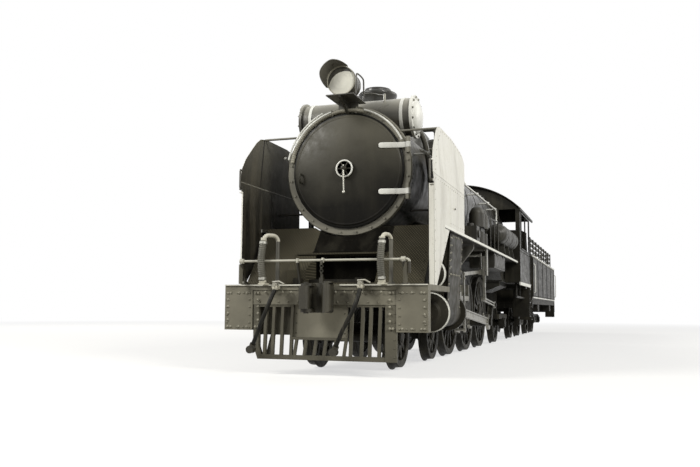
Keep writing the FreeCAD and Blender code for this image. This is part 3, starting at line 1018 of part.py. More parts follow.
def cab():
    """Cab of flat sheets: spectacle plate, two sides with windows, floor and
    arched roof with its overhang towards the tender."""
    x0, x1 = CAB_X
    half = CAB_HALF
    under = join([block((x0 - SHEET, x0), (-half + SHEET, half - SHEET), (CAB_LOW, EAVE_Z - 20)),
                  arched_plate(x0 - SHEET, x0, 22, 560, half - SHEET)])
    under = under.common(join([block((x0 - 20, x0 + 10), (-half, half), (CAB_LOW, EAVE_Z - 20)),
                               arched_plate(x0 - 20, x0 + 10, 22, 2000, half)]))
    front = under.cut([drum((x0 - 50, 0, BOILER_Z), (x0 + 50, 0, BOILER_Z), BARREL_R + 3),
                       prism("x", [(-BARREL_R - 3, BOILER_Z), (-945, 1500), (-945, 1290), (945, 1290), (945, 1500),
                                   (BARREL_R + 3, BOILER_Z)], x0 - 50, x0 + 50)])
    front = front.cut([block((x0 - 50, x0 + 50), (s * 830, s * 1180), (2410, 2860)) for s in (-1, 1)])
    save("cab_front", front)

    side = [block((x0, x1), (half - SHEET, half), (CAB_LOW, EAVE_Z - 24))]
    side = side[0].cut([block((x0 - a, x0 - b), (half - 50, half + 50), WINDOW_Z)
                        for a, b in ((230, 950), (1010, 1730))])
    trim = [block((x0 - a, x0 - b), (half - 2, half + 14), (z, z + 26))
            for a, b in ((212, 968), (992, 1748)) for z in (WINDOW_Z[0] - 26, WINDOW_Z[1])]
    trim += [block((x0 - a - 18, x0 - a), (half - 2, half + 14), (WINDOW_Z[0] - 26, WINDOW_Z[1] + 26))
             for a in (212, 968, 1730)]
    rails = [tube([(x1 + 40, half - 5, z0), (x1 + 40, half + 45 - 27, z0), (x1 + 40, half + 45 - 27, z1),
                   (x1 + 40, half - 5, z1)], 13, 14) for z0, z1 in ((1400, 2420),)]
    edge = block((x0 + 10, x1), (half - 20, half + 8), (CAB_LOW - 60, CAB_LOW + 4))
    side = join([side] + trim + rails + [edge])
    save("cab_sides", both(side))

    roof = arched_plate(ROOF_X[1], ROOF_X[0], 0, 22, half + 30)
    gutter = both(block(ROOF_X, (half, half + 30), (EAVE_Z - 45, EAVE_Z + 6)))
    vent = join([block((-9000, -9900), (-330, 330), (CROWN_Z - 40, CROWN_Z + 60))])
    rear = arched_plate(x1 - SHEET, x1, 10, 700, half - SHEET).common(
        block((x1 - 50, x1 + 50), (-half, half), (2800, CROWN_Z)))
    save("cab_roof", join([roof, vent, rear] + gutter))

    floor = [block((FIREBOX_BACK, -10750), (-half + SHEET, half - SHEET), (CAB_LOW - 10, CAB_LOW + 30)),
             block((x0 - SHEET, FIREBOX_BACK), (945, half - SHEET), (CAB_LOW - 10, CAB_LOW + 30)),
             block((x0 - SHEET, FIREBOX_BACK), (-half + SHEET, -945), (CAB_LOW - 10, CAB_LOW + 30)),
             block((-9350, -10700), (-FRAME_OUT, -FRAME_IN), (FRAME_TOP, CAB_LOW - 5)),
             block((-9350, -10700), (FRAME_IN, FRAME_OUT), (FRAME_TOP, CAB_LOW - 5)),
             block((-9500, -9700), (-half + SHEET, half - SHEET), (CAB_LOW - 110, CAB_LOW - 5)),
             block((-10450, -10650), (-half + SHEET, half - SHEET), (CAB_LOW - 110, CAB_LOW - 5))]
    for s in (-1, 1):
        floor.append(tube([(-8560, s * 1150, CAB_LOW - 2), (-8560, s * 1150, 1000), (-10250, s * 1150, 985)], 24, 90))
        floor += [block((x - 14, x + 14), (s * 1140, s * 1160), (1000, CAB_LOW)) for x in (-9250, -9980)]
    save("cab_floor", join(floor + steps()))


def backhead():
    """Backhead fittings: fire door, regulator, gauges, brake stand, seats."""
    x = FIREBOX_BACK
    parts = [lathe("x", (x, 0, 1790), [(-60, 0), (-60, 230), (0, 250), (0, 0)]),
             block((x - 80, x), (-200, 200), (2740, 2860)),
             drum((x, 0, 2600), (x - 140, 0, 2600), 30),
             drum((x - 130, -330, 2480), (x - 130, 60, 2610), 22)]
    for y in (-300, -140, 140, 300):
        parts.append(lathe("x", (x, y, 2960), [(-70, 0), (-70, 80), (0, 80), (0, 0)]))
    for y in (-420, 420):
        parts += [drum((x - 60, y, 2150), (x - 60, y, 2500), 22),
                  block((x - 75, x), (y - 30, y + 30), (2150, 2190)), block((x - 75, x), (y - 30, y + 30), (2460, 2500))]
    seats = []
    for s in (-1, 1):
        y0, y1 = sorted((s * 900, s * (CAB_HALF - SHEET)))
        seats += [block((-9750, -10150), (y0, y1), (CAB_LOW + 30, 1800)),]
    save("backhead_fittings", [join(parts)] + seats)


def steps():
    """Steps under the cab's rear corners."""
    parts = [block((-10330, -10350), (900, CAB_HALF), (560, CAB_LOW)), block((-10080, -10100), (900, CAB_HALF), (560, CAB_LOW))]
    for z in (560, 880):
        parts.append(block((-10080, -10350), (930, CAB_HALF + 10), (z, z + 20)))
    parts.append(block((-10080, -10350), (800, CAB_HALF - 20), (CAB_LOW - 30, CAB_LOW - 10)))
    return both(join(parts))


# ---- brake gear ---------------------------------------------------------------
def brake_gear():
    """Hangers and blocks ahead of each driver, with cross beams."""
    parts, r = [], DRIVER_D / 2
    mid = BACK_TO_BACK / 2 + WHEEL_W / 2
    solids = []
    for x in DRIVER_X:
        arm = []
        for s in (-1, 1):
            y = s * mid
            shoe = drum((x, y - 45, r), (x, y + 45, r), r + 90)
            shoe = shoe.cut(drum((x, y - 60, r), (x, y + 60, r), r + 14))
            lo, hi = sorted((s * (mid - 22), s * (mid + 42)))
            shoe = shoe.common(block((x - r - 120, x - r * 0.75), (lo, hi), (r - 260, r + 60)))
            arm.append(shoe)
            hx = x - r - 62
            arm.append(block((hx - 15, hx + 25), (y - 15, y + 15), (r - 240, FRAME_TOP - 30)))
            y0, y1 = sorted((s * FRAME_OUT, s * (mid + 15)))
            arm.append(block((hx - 15, hx + 25), (y0, y1), (FRAME_TOP - 90, FRAME_TOP - 30)))
        arm.append(block((x - r - 100, x - r - 60), (-mid, mid), (r - 260, r - 190)))
        solids.append(join(arm))
    save("brake_gear", solids)


# ---- trucks -------------------------------------------------------------------
def lead_bogie():
    """Leading bogie frame: side bars outside the axles' journals, centre casting."""
    z = LEAD_D / 2
    xa, xb = LEAD_X
    mid = (xa + xb) / 2
    y0, y1 = 300.0, 380.0
    side = [prism("y", [(xa + 180, z + 40), (xa + 120, z + 150), (xb - 120, z + 150), (xb - 180, z + 40),
                        (xb - 130, z + 40), (xb - 130, z - 90), (xb + 130, z - 90), (xb + 130, z + 30),
                        (mid - 200, z + 10), (mid + 200, z + 10), (xa - 130, z + 30), (xa - 130, z - 90),
                        (xa + 130, z - 90), (xa + 130, z + 40)], y0, y1)]
    side = join(side).cut([drum((x, 0, z), (x, 600, z), LEAD_AXLE + FIT) for x in LEAD_X])
    centre = [block((mid - 220, mid + 220), (-y0 - 10, y0 + 10), (z + 60, z + 150)),
              block((xa - 200, xa - 260), (-y0 - 10, y0 + 10), (z + 60, z + 140)),
              block((xb + 200, xb + 260), (-y0 - 10, y0 + 10), (z + 60, z + 140)),
              drum((mid, 0, z + 140), (mid, 0, z + 320), 170), drum((mid, 0, z + 310), (mid, 0, 890), 55)]
    save("lead_bogie_frame", join(both(side) + centre))
    for i, x in enumerate(LEAD_X):
        plain_wheelset("lead_wheelset_%d" % (i + 1), x, LEAD_D, 10, 105.0, LEAD_AXLE, 400.0)


def lead_pivot():
    """Stretcher with the bogie's centre socket under the saddle."""
    mid = sum(LEAD_X) / 2
    body = join([block((mid - 260, mid + 260), (-FRAME_IN - 10, FRAME_IN + 10), (890 - 150, 960)),
                 block((mid - 260, mid + 260), (-FRAME_IN - 10, FRAME_IN + 10), (950, FRAME_TOP))])
    return body.cut(drum((mid, 0, 0), (mid, 0, 905), 55 + FIT))


def trailing_truck():
    """Trailing truck: outside frame on a radius bar, with boxes on the journals."""
    z = TRAIL_D / 2
    x = TRAIL_X
    side = [block((x - 620, x + 620), (690, 770), (z + 90, z + 190)),
            block((x - 130, x + 130), (685, 790), (z - 130, z + 110)),
            drum((x, 780, z), (x, 815, z), 105)]
    side = join(side)
    side = side.cut(drum((x, 600, z), (x, 800, z), JOURNAL * TRAIL_AXLE + FIT))
    parts = both(side)
    parts += [block((x + 560, x + 620), (-700, 700), (z + 90, z + 190)),
              block((x - 620, x - 560), (-700, 700), (z + 90, z + 190)),
              prism("z", [(x + 600, -420), (x + 600, 420), (TRUCK_PIVOT_X - 60, 60), (TRUCK_PIVOT_X - 60, -60)],
                    z + 100, z + 160),
              drum((TRUCK_PIVOT_X, 0, z + 90), (TRUCK_PIVOT_X, 0, z + 180), 110)]
    body = join(parts).cut(drum((TRUCK_PIVOT_X, 0, 0), (TRUCK_PIVOT_X, 0, 900), 50 + FIT))
    save("trailing_truck_frame", body)
    plain_wheelset("trailing_wheelset", x, TRAIL_D, 12, 115.0, TRAIL_AXLE, 778.0)


TRUCK_PIVOT_X = -8350.0


def truck_pivot():
    """Pin stretcher for the trailing truck, and its side bearers."""
    z = TRAIL_D / 2
    return join([block((TRUCK_PIVOT_X - 90, TRUCK_PIVOT_X + 90), (-FRAME_IN - 5, FRAME_IN + 5), (z + 200, 975)),
                 drum((TRUCK_PIVOT_X, 0, z + 70), (TRUCK_PIVOT_X, 0, z + 240), 50)])


def tender_bogie(n, mid):
    """Bar-sided tender bogie with its bolster, springs and outside boxes."""
    z = TENDER_D / 2
    half = TENDER_BOGIE_BASE / 2
    y0, y1 = 700.0, 770.0
    side = [prism("y", [(mid - half - 150, z + 150), (mid + half + 150, z + 150), (mid + half + 150, z + 90),
                        (mid + half - 160, z + 90), (mid + 260, z - 110), (mid - 260, z - 110),
                        (mid - half + 160, z + 90), (mid - half - 150, z + 90)], y0, y1)]
    side = [join(side).cut(prism("y", [(mid - half + 250, z + 90), (mid - 300, z + 90), (mid - 300, z - 60)],
                                 y0 - 5, y1 + 5)).cut(
        prism("y", [(mid + half - 250, z + 90), (mid + 300, z + 90), (mid + 300, z - 60)], y0 - 5, y1 + 5))]
    for s in (-1, 1):
        x = mid + s * half
        box = join([block((x - 115, x + 115), (y0 - 10, y1 + 35), (z - 125, z + 110)),
                    block((x - 85, x + 85), (y1 + 30, y1 + 60), (z - 95, z + 60))])
        side.append(box.cut(drum((x, 500, z), (x, y1 + 20, z), JOURNAL * TENDER_AXLE + FIT)))
    for k in (-150, 0, 150):
        side.append(drum((mid + k, (y0 + y1) / 2, z - 60), (mid + k, (y0 + y1) / 2, z + 100), 45))
    bolster = [block((mid - 190, mid + 190), (-y0 - 20, y0 + 20), (z + 60, z + 170)),
               drum((mid, 0, z + 160), (mid, 0, z + 240), 190), drum((mid, 0, z + 230), (mid, 0, z + 330), 50)]
    save("tender_bogie_frame_%d" % n, join(both(join(side)) + bolster))
    for i, s in enumerate((1, -1)):
        plain_wheelset("tender_wheelset_%d" % (2 * n - 1 + i), mid + s * half, TENDER_D, 0, 110.0, TENDER_AXLE, 788.0)


# ---- tender -------------------------------------------------------------------
def tender():
    x0, x1 = TENDER_X
    z = TENDER_D / 2
    sill = [block((x0 - 40, x1 + 130), (s * 290 - 60, s * 290 + 60), (760, 960)) for s in (-1, 1)]
    sill += [block((x0 - 40, x1 + 130), (s * (TENDER_HALF - 60), s * (TENDER_HALF - 10)), (860, 960)) for s in (-1, 1)]
    sill += [block((x1, x1 + 130), (-TENDER_HALF, TENDER_HALF), (640, 960)),
             block((x0 - 140, x0), (-TENDER_HALF, TENDER_HALF), (760, 960)),
             block((x0 + 40, x1), (-TENDER_HALF, TENDER_HALF), (960, TENDER_LOW))]
    for mid in TENDER_BOGIE_X:
        sill.append(block((mid - 220, mid + 220), (-TENDER_HALF + 30, TENDER_HALF - 30), (z + 250, 960)))
        for s in (-1, 1):
            y0, y1 = sorted((s * 560, s * 680))
            sill.append(block((mid - 80, mid + 80), (y0, y1), (z + 200, z + 260)))
    frame = join(sill).cut([drum((mid, 0, 0), (mid, 0, z + 345), 50 + FIT) for mid in TENDER_BOGIE_X])
    frame = frame.cut(block((x1 - 5, x1 + 200), (-110, 110), (COUPLER_Z - 75, COUPLER_Z + 75)))
    bar = join([block((DRAW_X + 40, x0 - 100), (-60, 60), (840, 900)),
                drum((DRAW_X, 0, 840), (DRAW_X, 0, 900), 95)])
    bar = bar.cut(drum((DRAW_X, 0, 700), (DRAW_X, 0, 1000), 40 + FIT))
    save("tender_frame", [join([frame, bar]), coupler(TENDER_X[1], -1)])

    tank = block((x0 - 250, x1 + 40), (-TENDER_HALF, TENDER_HALF), (TENDER_LOW, TENDER_TOP))
    bunker = prism("y", [(x0 - 100, TENDER_LOW + 500), (x0 - 100, TENDER_TOP + 50), (-15200, TENDER_TOP + 50),
                         (-15200, TENDER_TOP - 150), (-13600, TENDER_LOW + 500)], -900, 900)
    tank = tank.cut(bunker)
    ribs = []
    for x in (x0 - 280, -12600, -14000, -15400, -16800, x1 + 70):
        for s in (-1, 1):
            y0_, y1_ = sorted((s * (TENDER_HALF - 5), s * (TENDER_HALF + 10)))
            ribs.append(block((x - 30, x + 30), (y0_, y1_), (TENDER_LOW, TENDER_TOP)))
    beads = [drum((x0 - 250, s * TENDER_HALF, TENDER_TOP), (x1 + 40, s * TENDER_HALF, TENDER_TOP), 22) for s in (-1, 1)]
    hatch_ring = lathe("z", (HATCH_X, 0, TENDER_TOP), [(-2, 0), (-2, 330), (60, 330), (60, 0)])
    ears = [block((HATCH_X + 342, HATCH_X + 382), (y - 12, y + 12), (TENDER_TOP - 2, TENDER_TOP + 92))
            for y in (-80, 80)]
    pin = drum((HATCH_X + 362, -92, TENDER_TOP + 76), (HATCH_X + 362, 92, TENDER_TOP + 76), 9)
    wall = x0 - 240
    bulkhead = [prism("x", [(-1110, TENDER_TOP - 10), (1110, TENDER_TOP - 10), (1110, 2620), (960, 2700),
                            (-960, 2700), (-1110, 2620)], wall - 6, wall + 6)]
    bulkhead += [prism("y", [(wall, TENDER_TOP - 5), (wall - 260, TENDER_TOP - 5), (wall, 2560)], y - 6, y + 6)
                 for y in (-1100, 1100)]
    save("tender_tank", join([tank] + ribs + beads + [hatch_ring, pin] + ears + bulkhead))

    front, rear, side = x0 - 700, x1 + 20, 1150.0
    levels = [TENDER_TOP + k for k in (55, 185, 315, 445)]
    slat, post = RACK_TOP - levels[-1], 30.0
    rack = []
    for s in (-1, 1):
        for i in range(9):
            x = front - 60 + (rear - front + 120) * i / 8
            rack.append(block((x - post, x + post), (s * side, s * (side - post)), (TENDER_TOP - 2, RACK_TOP)))
        rack += [block((front, rear), (s * (side - post), s * (side - 2 * post)), (z_, z_ + slat)) for z_ in levels]
    rack += [block((rear + post, rear), (-side + post, side - post), (z_, z_ + slat)) for z_ in levels]
    rack += [block((rear + 2 * post, rear + post), (y - post, y + post), (TENDER_TOP - 2, RACK_TOP))
             for y in (-600, 0, 600)]
    save("bunker_rack", join(rack))

    lid = join([drum((HATCH_X, 0, TENDER_TOP + 61), (HATCH_X, 0, TENDER_TOP + 81), 335),
                block((HATCH_X + 300, HATCH_X + 378), (-55, 55), (TENDER_TOP + 63, TENDER_TOP + 90)),
                tube([(HATCH_X - 250, -70, TENDER_TOP + 75), (HATCH_X - 250, -70, TENDER_TOP + 125),
                      (HATCH_X - 250, 70, TENDER_TOP + 125), (HATCH_X - 250, 70, TENDER_TOP + 75)], 10, 22)])
    lid = lid.cut(drum((HATCH_X + 362, -92, TENDER_TOP + 76), (HATCH_X + 362, 92, TENDER_TOP + 76), 9 + FIT))
    save("tank_hatch_lid", lid)

    rails = []
    for s in (-1, 1):
        y = s * (TENDER_HALF + 50)
        for x in (x0 - 290, x1 + 90):
            lo = TENDER_LOW + 130
            rails.append(tube([(x, s * (TENDER_HALF - 40), lo), (x, y, lo), (x, y, TENDER_TOP - 200),
                               (x, s * (TENDER_HALF - 40), TENDER_TOP - 200)], 13, 30))
    stair = []
    for s in (-1, 1):
        for x in (x0 + 20, x1 + 100):
            y0_, y1_ = sorted((s * 960, s * (TENDER_HALF - 12)))
            stair += [block((x - 150, x + 150 - 20), (y0_, y1_), (z_, z_ + 20)) for z_ in (480, 780)]
            stair += [block((x + k - 8, x + k + 8), (y0_, y1_), (480, 900)) for k in (-142, 122)]
    stair = join(stair + [block((x0 + 100, x0 - 100), (-TENDER_HALF + 12, TENDER_HALF - 12), (900, 960))])
    save("tender_fittings", rails + [stair.cut(frame)])


DRAW_X = -10600.0
HATCH_X = -17300.0


def drawbar_pin():
    return join([block((DRAW_X - 80, DRAW_X + 80), (-FRAME_IN - 5, FRAME_IN + 5), (925, 1000)),
                 drum((DRAW_X, 0, 820), (DRAW_X, 0, 930), 40)])


# ---- front hoses --------------------------------------------------------------
def soft_bends(points):
    """Largest even bends for a hanging hose: 0.45 of the shorter run at each corner."""
    p = [V(*q) for q in points]
    radii = []
    for a, b, c in zip(p, p[1:], p[2:]):
        turn = math.pi - (a - b).getAngle(c - b)
        radii.append(0.45 * min((a - b).Length, (c - b).Length) / math.tan(turn / 2))
    return radii


def hose(points, r):
    """Rubber hose: straight runs joined by tangent arcs, each with its own radius."""
    p = [V(*q) for q in points]
    edges, here, length = [], p[0], 0.0
    for a, b, c, bend in zip(p, p[1:], p[2:], soft_bends(points)):
        u, w = (a - b).normalize(), (c - b).normalize()
        half = u.getAngle(w) / 2
        cut = bend / math.tan(half)
        into, out = b + u * cut, b + w * cut
        mid = b + (u + w).normalize() * (bend / math.sin(half) - bend)
        edges += [Part.makeLine(here, into), Part.Arc(into, mid, out).toShape()]
        here = out
    edges.append(Part.makeLine(here, p[-1]))
    wire = Part.Wire(edges)
    ring = Part.Wire(Part.makeCircle(r, p[0], p[1] - p[0]))
    solid = wire.makePipeShell([ring], True, False)
    print("hose: length %.0f, radii %s, volume ratio %.4f" % (
        wire.Length, [round(q) for q in soft_bends(points)],
        solid.Volume / (wire.Length * math.pi * r * r)))
    return solid


AIR_R, VAC_R = 24.0, 38.0
AIR_ROUTES = {      # point by point (x, y, z): cock, belly, coupling
    "air_hose_left": [(120, 491, 950), (190, 480, 815), (205, 420, 670), (195, 335, 530), (150, 262, 405),
                      (120, 215, 315)],
    "air_hose_right": [(120, -530, 938), (190, -556, 815), (205, -606, 680), (195, -668, 545), (150, -742, 410),
                       (115, -795, 320)],
}
VAC_ROUTES = {      # hanging nearly straight in front of each swan neck
    "vacuum_hose_left": [(100, 735, 1480), (134, 728, 1335), (136, 727, 1185), (104, 733, 1045)],
    "vacuum_hose_right": [(100, -690, 1500), (134, -700, 1350), (136, -702, 1190), (104, -694, 1045)],
}
PIPE_Y = {"vacuum_hose_left": 795.0, "vacuum_hose_right": -575.0}   # stand pipe beside its hose
PIPE_R = 23.0


def hoses():
    for name, pts in AIR_ROUTES.items():
        save(name, hose(pts, AIR_R))
    for name, pts in VAC_ROUTES.items():
        save(name, hose(pts, VAC_R))


def pipework():
    """Vacuum stand pipes with their swan necks and dummies, air cocks and hose couplings."""
    parts = []
    for name, pts in VAC_ROUTES.items():
        (x, y, z), foot, py = pts[0], pts[-1], PIPE_Y[name]
        top = z + 68
        parts.append(tube([(-50, py, DECK_TOP - 5), (-50, py, top), (x - 8, y + 0.05 * (py - y), top), (x, y, z + 1)],
                          PIPE_R, 66))
        parts += [drum((x - 3, y, z + 34), (x, y, z + 1), VAC_R - 4), drum((-50, py, DECK_TOP - 5),
                                                                        (-50, py, DECK_TOP + 24), 44)]
        a, b = V(*pts[-2]), V(*foot)
        e = b + (b - a).normalize() * 26
        parts += [drum((b.x, b.y, b.z), (e.x, e.y, e.z), VAC_R + 4),
                  block((-70, e.x + 40), (e.y - 40, e.y + 40), (DECK_TOP - 6, DECK_TOP + 14)),
                  drum((e.x, e.y, DECK_TOP + 8), (e.x, e.y, e.z), 24)]
    for name, pts in AIR_ROUTES.items():
        x, y, z = pts[0]
        parts += [drum((-14, y, z + 22), (x + 8, y, z + 22), 21), ball((x - 6, y, z + 22), 36),
                  drum((x, y, z), (x - 4, y, z + 24), AIR_R - 2),
                  drum((60, y - 70, z + 34), (60, y + 30, z + 34), 9)]
    save("brake_pipes", [s for s in join(parts).Solids])
    solids = []
    for pts in AIR_ROUTES.values():
        a, b = V(*pts[-2]), V(*pts[-1])
        d = (b - a).normalize()
        e, f = b + d * 78, b + d * 40
        solids.append(join([drum((b.x, b.y, b.z), (e.x, e.y, e.z), 32),
                            drum((e.x - 40, e.y, e.z), (e.x + 46, e.y, e.z), 44),
                            drum((b.x, b.y, b.z), (f.x, f.y, f.z), 36)]))
    save("hose_couplings", solids)


# ---- seats: (piece, what it is fitted round or stands on) ----------------------
SEATS = [
    ("buffer_beam", ["engine_frame"]),
    ("pilot", ["buffer_beam", "front_coupler"]),
    ("cylinders", ["smokebox", "engine_frame"]),
    ("slide_bars_and_crossheads", ["cylinders", "engine_frame"]),
    ("valve_gear", ["cylinders", "slide_bars_and_crossheads"]),
    ("front_apron", ["engine_frame", "smokebox", "buffer_beam"]),
    ("feedwater_heater", ["smokebox"]),
    ("domes", ["boiler_barrel"]),
    ("chimney", ["smokebox", "feedwater_heater"]),
    ("running_boards", ["firebox", "cylinders", "boiler_barrel", "smokebox", "front_apron"]),
    ("feedwater_heater", ["running_boards"]),
    ("headlamp", ["smokebox", "feedwater_heater"]),
    ("smoke_deflectors", ["smokebox", "buffer_beam", "running_boards", "front_apron"]),
    ("board_fittings", ["running_boards", "smokebox", "cab_front"]),
    ("handrails", ["boiler_barrel", "smokebox", "board_fittings", "firebox", "smoke_deflectors"]),
    ("cab_front", ["cab_sides", "firebox", "running_boards"]),
    ("cab_floor", ["cab_sides", "firebox", "cab_front"]),
    ("brake_gear", ["engine_frame"]),
    ("brake_pipes", ["buffer_beam", "air_hose_left", "air_hose_right", "vacuum_hose_left",
                     "vacuum_hose_right"]),
    ("bunker_rack", ["tender_tank"]),
    ("tender_fittings", ["tender_tank"]),
]

# ---- build --------------------------------------------------------------------
engine_frame()
springs()
buffer_beam()
pilot()
front_apron()
uncoupling_gear()
smokebox()
smokebox_door()
heater()
boiler()
firebox()
chimney()
domes()
headlamp()
cylinders()
crossheads()
valve_gear()
rods()
for i, x in enumerate(DRIVER_X):
    driving_wheelset("driving_wheelset_%d" % (i + 1), x, i == 1)
lead_bogie()
trailing_truck()
running_boards()
deflectors()
pumps()
board_fittings()
handrails()
cab()
backhead()
brake_gear()
tender()
for i, x in enumerate(TENDER_BOGIE_X):
    tender_bogie(i + 1, x)
hoses()
pipework()
write_all()
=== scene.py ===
# A metre-gauge steam locomotive and its tender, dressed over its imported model.
import math

import bpy
import numpy as np
from mathutils import Matrix, Vector


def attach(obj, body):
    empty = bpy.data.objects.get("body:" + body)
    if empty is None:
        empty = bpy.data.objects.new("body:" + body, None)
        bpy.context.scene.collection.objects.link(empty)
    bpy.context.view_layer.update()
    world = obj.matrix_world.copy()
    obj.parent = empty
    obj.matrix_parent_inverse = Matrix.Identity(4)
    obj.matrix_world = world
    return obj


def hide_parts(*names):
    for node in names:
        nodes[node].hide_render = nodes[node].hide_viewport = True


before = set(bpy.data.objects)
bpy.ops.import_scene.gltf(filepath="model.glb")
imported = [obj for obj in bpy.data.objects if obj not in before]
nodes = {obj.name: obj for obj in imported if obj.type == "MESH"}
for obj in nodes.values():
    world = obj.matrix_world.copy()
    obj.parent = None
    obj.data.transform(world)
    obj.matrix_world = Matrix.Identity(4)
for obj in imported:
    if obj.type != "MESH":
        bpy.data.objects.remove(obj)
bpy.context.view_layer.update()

# ---- viewpoint, lamps and floor -------------------------------------------------
# The camera stands low by the track, ahead and to the left of the engine.  The stage
# is a pale floor, whiter with distance, under a white sky, lit by two broad high lamps
# ahead of the engine and two weaker ones on its sides.
camera_place = Vector((17.308, 3.115, 0.762))
camera_turn, camera_tilt, camera_roll = (math.radians(a) for a in (18.94, 5.56, 0.35))
look = Vector((-math.cos(camera_turn) * math.cos(camera_tilt),
               -math.sin(camera_turn) * math.cos(camera_tilt), math.sin(camera_tilt)))
side = look.cross(Vector((0, 0, 1))).normalized()
over = side.cross(look)
right = side * math.cos(camera_roll) + over * math.sin(camera_roll)
up = over * math.cos(camera_roll) - side * math.sin(camera_roll)
camera = bpy.data.objects.new("camera", bpy.data.cameras.new("camera"))
camera.data.lens = 39.41
camera.data.sensor_width = 36.0
camera.data.clip_end = 500.0
camera.matrix_world = Matrix.Translation(camera_place) @ Matrix((
    (right.x, up.x, -look.x, 0), (right.y, up.y, -look.y, 0), (right.z, up.z, -look.z, 0), (0, 0, 0, 1)))
bpy.context.scene.collection.objects.link(camera)
bpy.context.scene.camera = camera
bpy.context.scene.view_settings.view_transform = "Standard"


def soft_lamp(name, place, target, size, watts, tint):
    """Square area lamp at place, aimed at target."""
    lamp = bpy.data.objects.new(name, bpy.data.lights.new(name, "AREA"))
    lamp.data.shape = "SQUARE"
    lamp.data.size, lamp.data.energy, lamp.data.color = size, watts, tint
    lamp.location = place
    lamp.rotation_euler = (Vector(target) - Vector(place)).to_track_quat("-Z", "Y").to_euler()
    bpy.context.scene.collection.objects.link(lamp)


soft_lamp("key_lamp", (19, 17, 13), (6, 0, 2), 7.0, 4000.0, (1.0, 0.985, 0.93))
soft_lamp("front_lamp", (19.5, -13, 13), (8, 0, 2), 7.0, 4000.0, (1.0, 0.985, 0.94))
soft_lamp("left_lamp", (-6, 18, 11), (-3, 0, 2), 9.0, 1900.0, (1.0, 0.98, 0.94))
soft_lamp("far_lamp", (-8, -18, 13), (0, 0, 2), 10.0, 2300.0, (1.0, 0.98, 0.95))


def backdrop(tree, out, shade, surface, glow, bright):
    """To the camera, to gloss and through glass: surface lifted by bright towards
    white.  For the light that bounces about: the darker shade.  Gives back the socket
    of bright, so that it can vary over the surface."""
    rays = tree.nodes.new("ShaderNodeLightPath")
    first, second = (tree.nodes.new("ShaderNodeMath") for _ in range(2))
    first.operation = second.operation = "MAXIMUM"
    tree.links.new(rays.outputs["Is Camera Ray"], first.inputs[0])
    tree.links.new(rays.outputs["Is Glossy Ray"], first.inputs[1])
    tree.links.new(first.outputs[0], second.inputs[0])
    tree.links.new(rays.outputs["Is Transmission Ray"], second.inputs[1])
    glow.inputs["Color"].default_value = (1, 1, 1, 1)
    seen, mix = (tree.nodes.new("ShaderNodeMixShader") for _ in range(2))
    seen.inputs[0].default_value = bright
    tree.links.new(surface.outputs[0], seen.inputs[1])
    tree.links.new(glow.outputs[0], seen.inputs[2])
    tree.links.new(second.outputs[0], mix.inputs[0])
    tree.links.new(shade.outputs[0], mix.inputs[1])
    tree.links.new(seen.outputs[0], mix.inputs[2])
    tree.links.new(mix.outputs[0], out.inputs[0])
    return seen.inputs[0]


floor_half, floor_lift, lift_near, lift_far = 60.0, 0.62, 12.0, 30.0
floor = bpy.data.objects.new("floor", bpy.data.meshes.new("floor"))
floor.data.from_pydata([(-floor_half, -floor_half, 0), (floor_half, -floor_half, 0),
                        (floor_half, floor_half, 0), (-floor_half, floor_half, 0)], [], [(0, 1, 2, 3)])
floor_paint = bpy.data.materials.new("floor_paint")
floor_paint.use_nodes = True
floor_tree = floor_paint.node_tree
floor_tree.nodes.clear()
matt, pale_matt = (floor_tree.nodes.new("ShaderNodeBsdfDiffuse") for _ in range(2))
matt.inputs["Color"].default_value = (0.26, 0.25, 0.22, 1)
pale_matt.inputs["Color"].default_value = (0.86, 0.85, 0.82, 1)
lift = backdrop(floor_tree, floor_tree.nodes.new("ShaderNodeOutputMaterial"), matt, pale_matt,
                floor_tree.nodes.new("ShaderNodeEmission"), floor_lift)
spot, radius, rise = (floor_tree.nodes.new("ShaderNode" + kind)
                      for kind in ("TexCoord", "VectorMath", "MapRange"))
radius.operation = "LENGTH"
floor_tree.links.new(spot.outputs["Object"], radius.inputs[0])
floor_tree.links.new(radius.outputs["Value"], rise.inputs[0])
for socket, value in zip(rise.inputs[1:5], (lift_near, lift_far, floor_lift, 1.0)):
    socket.default_value = value
floor_tree.links.new(rise.outputs[0], lift)
floor.data.materials.append(floor_paint)
bpy.context.scene.collection.objects.link(floor)

world = bpy.data.worlds.new("sky")
bpy.context.scene.world = world
world.use_nodes = True
world.node_tree.nodes.clear()
sky = world.node_tree.nodes.new("ShaderNodeBackground")
sky.inputs[0].default_value, sky.inputs[1].default_value = (0.96, 0.97, 1.0, 1), 0.2
backdrop(world.node_tree, world.node_tree.nodes.new("ShaderNodeOutputWorld"), sky, sky,
         world.node_tree.nodes.new("ShaderNodeBackground"), 1.0)

# ---- front hoses ----------------------------------------------------------------
# Four rubber hoses hang in front of the beam: two thin ones for the air brake, each
# ending in its coupling, and two thick ones on the vacuum pipes' swan necks.


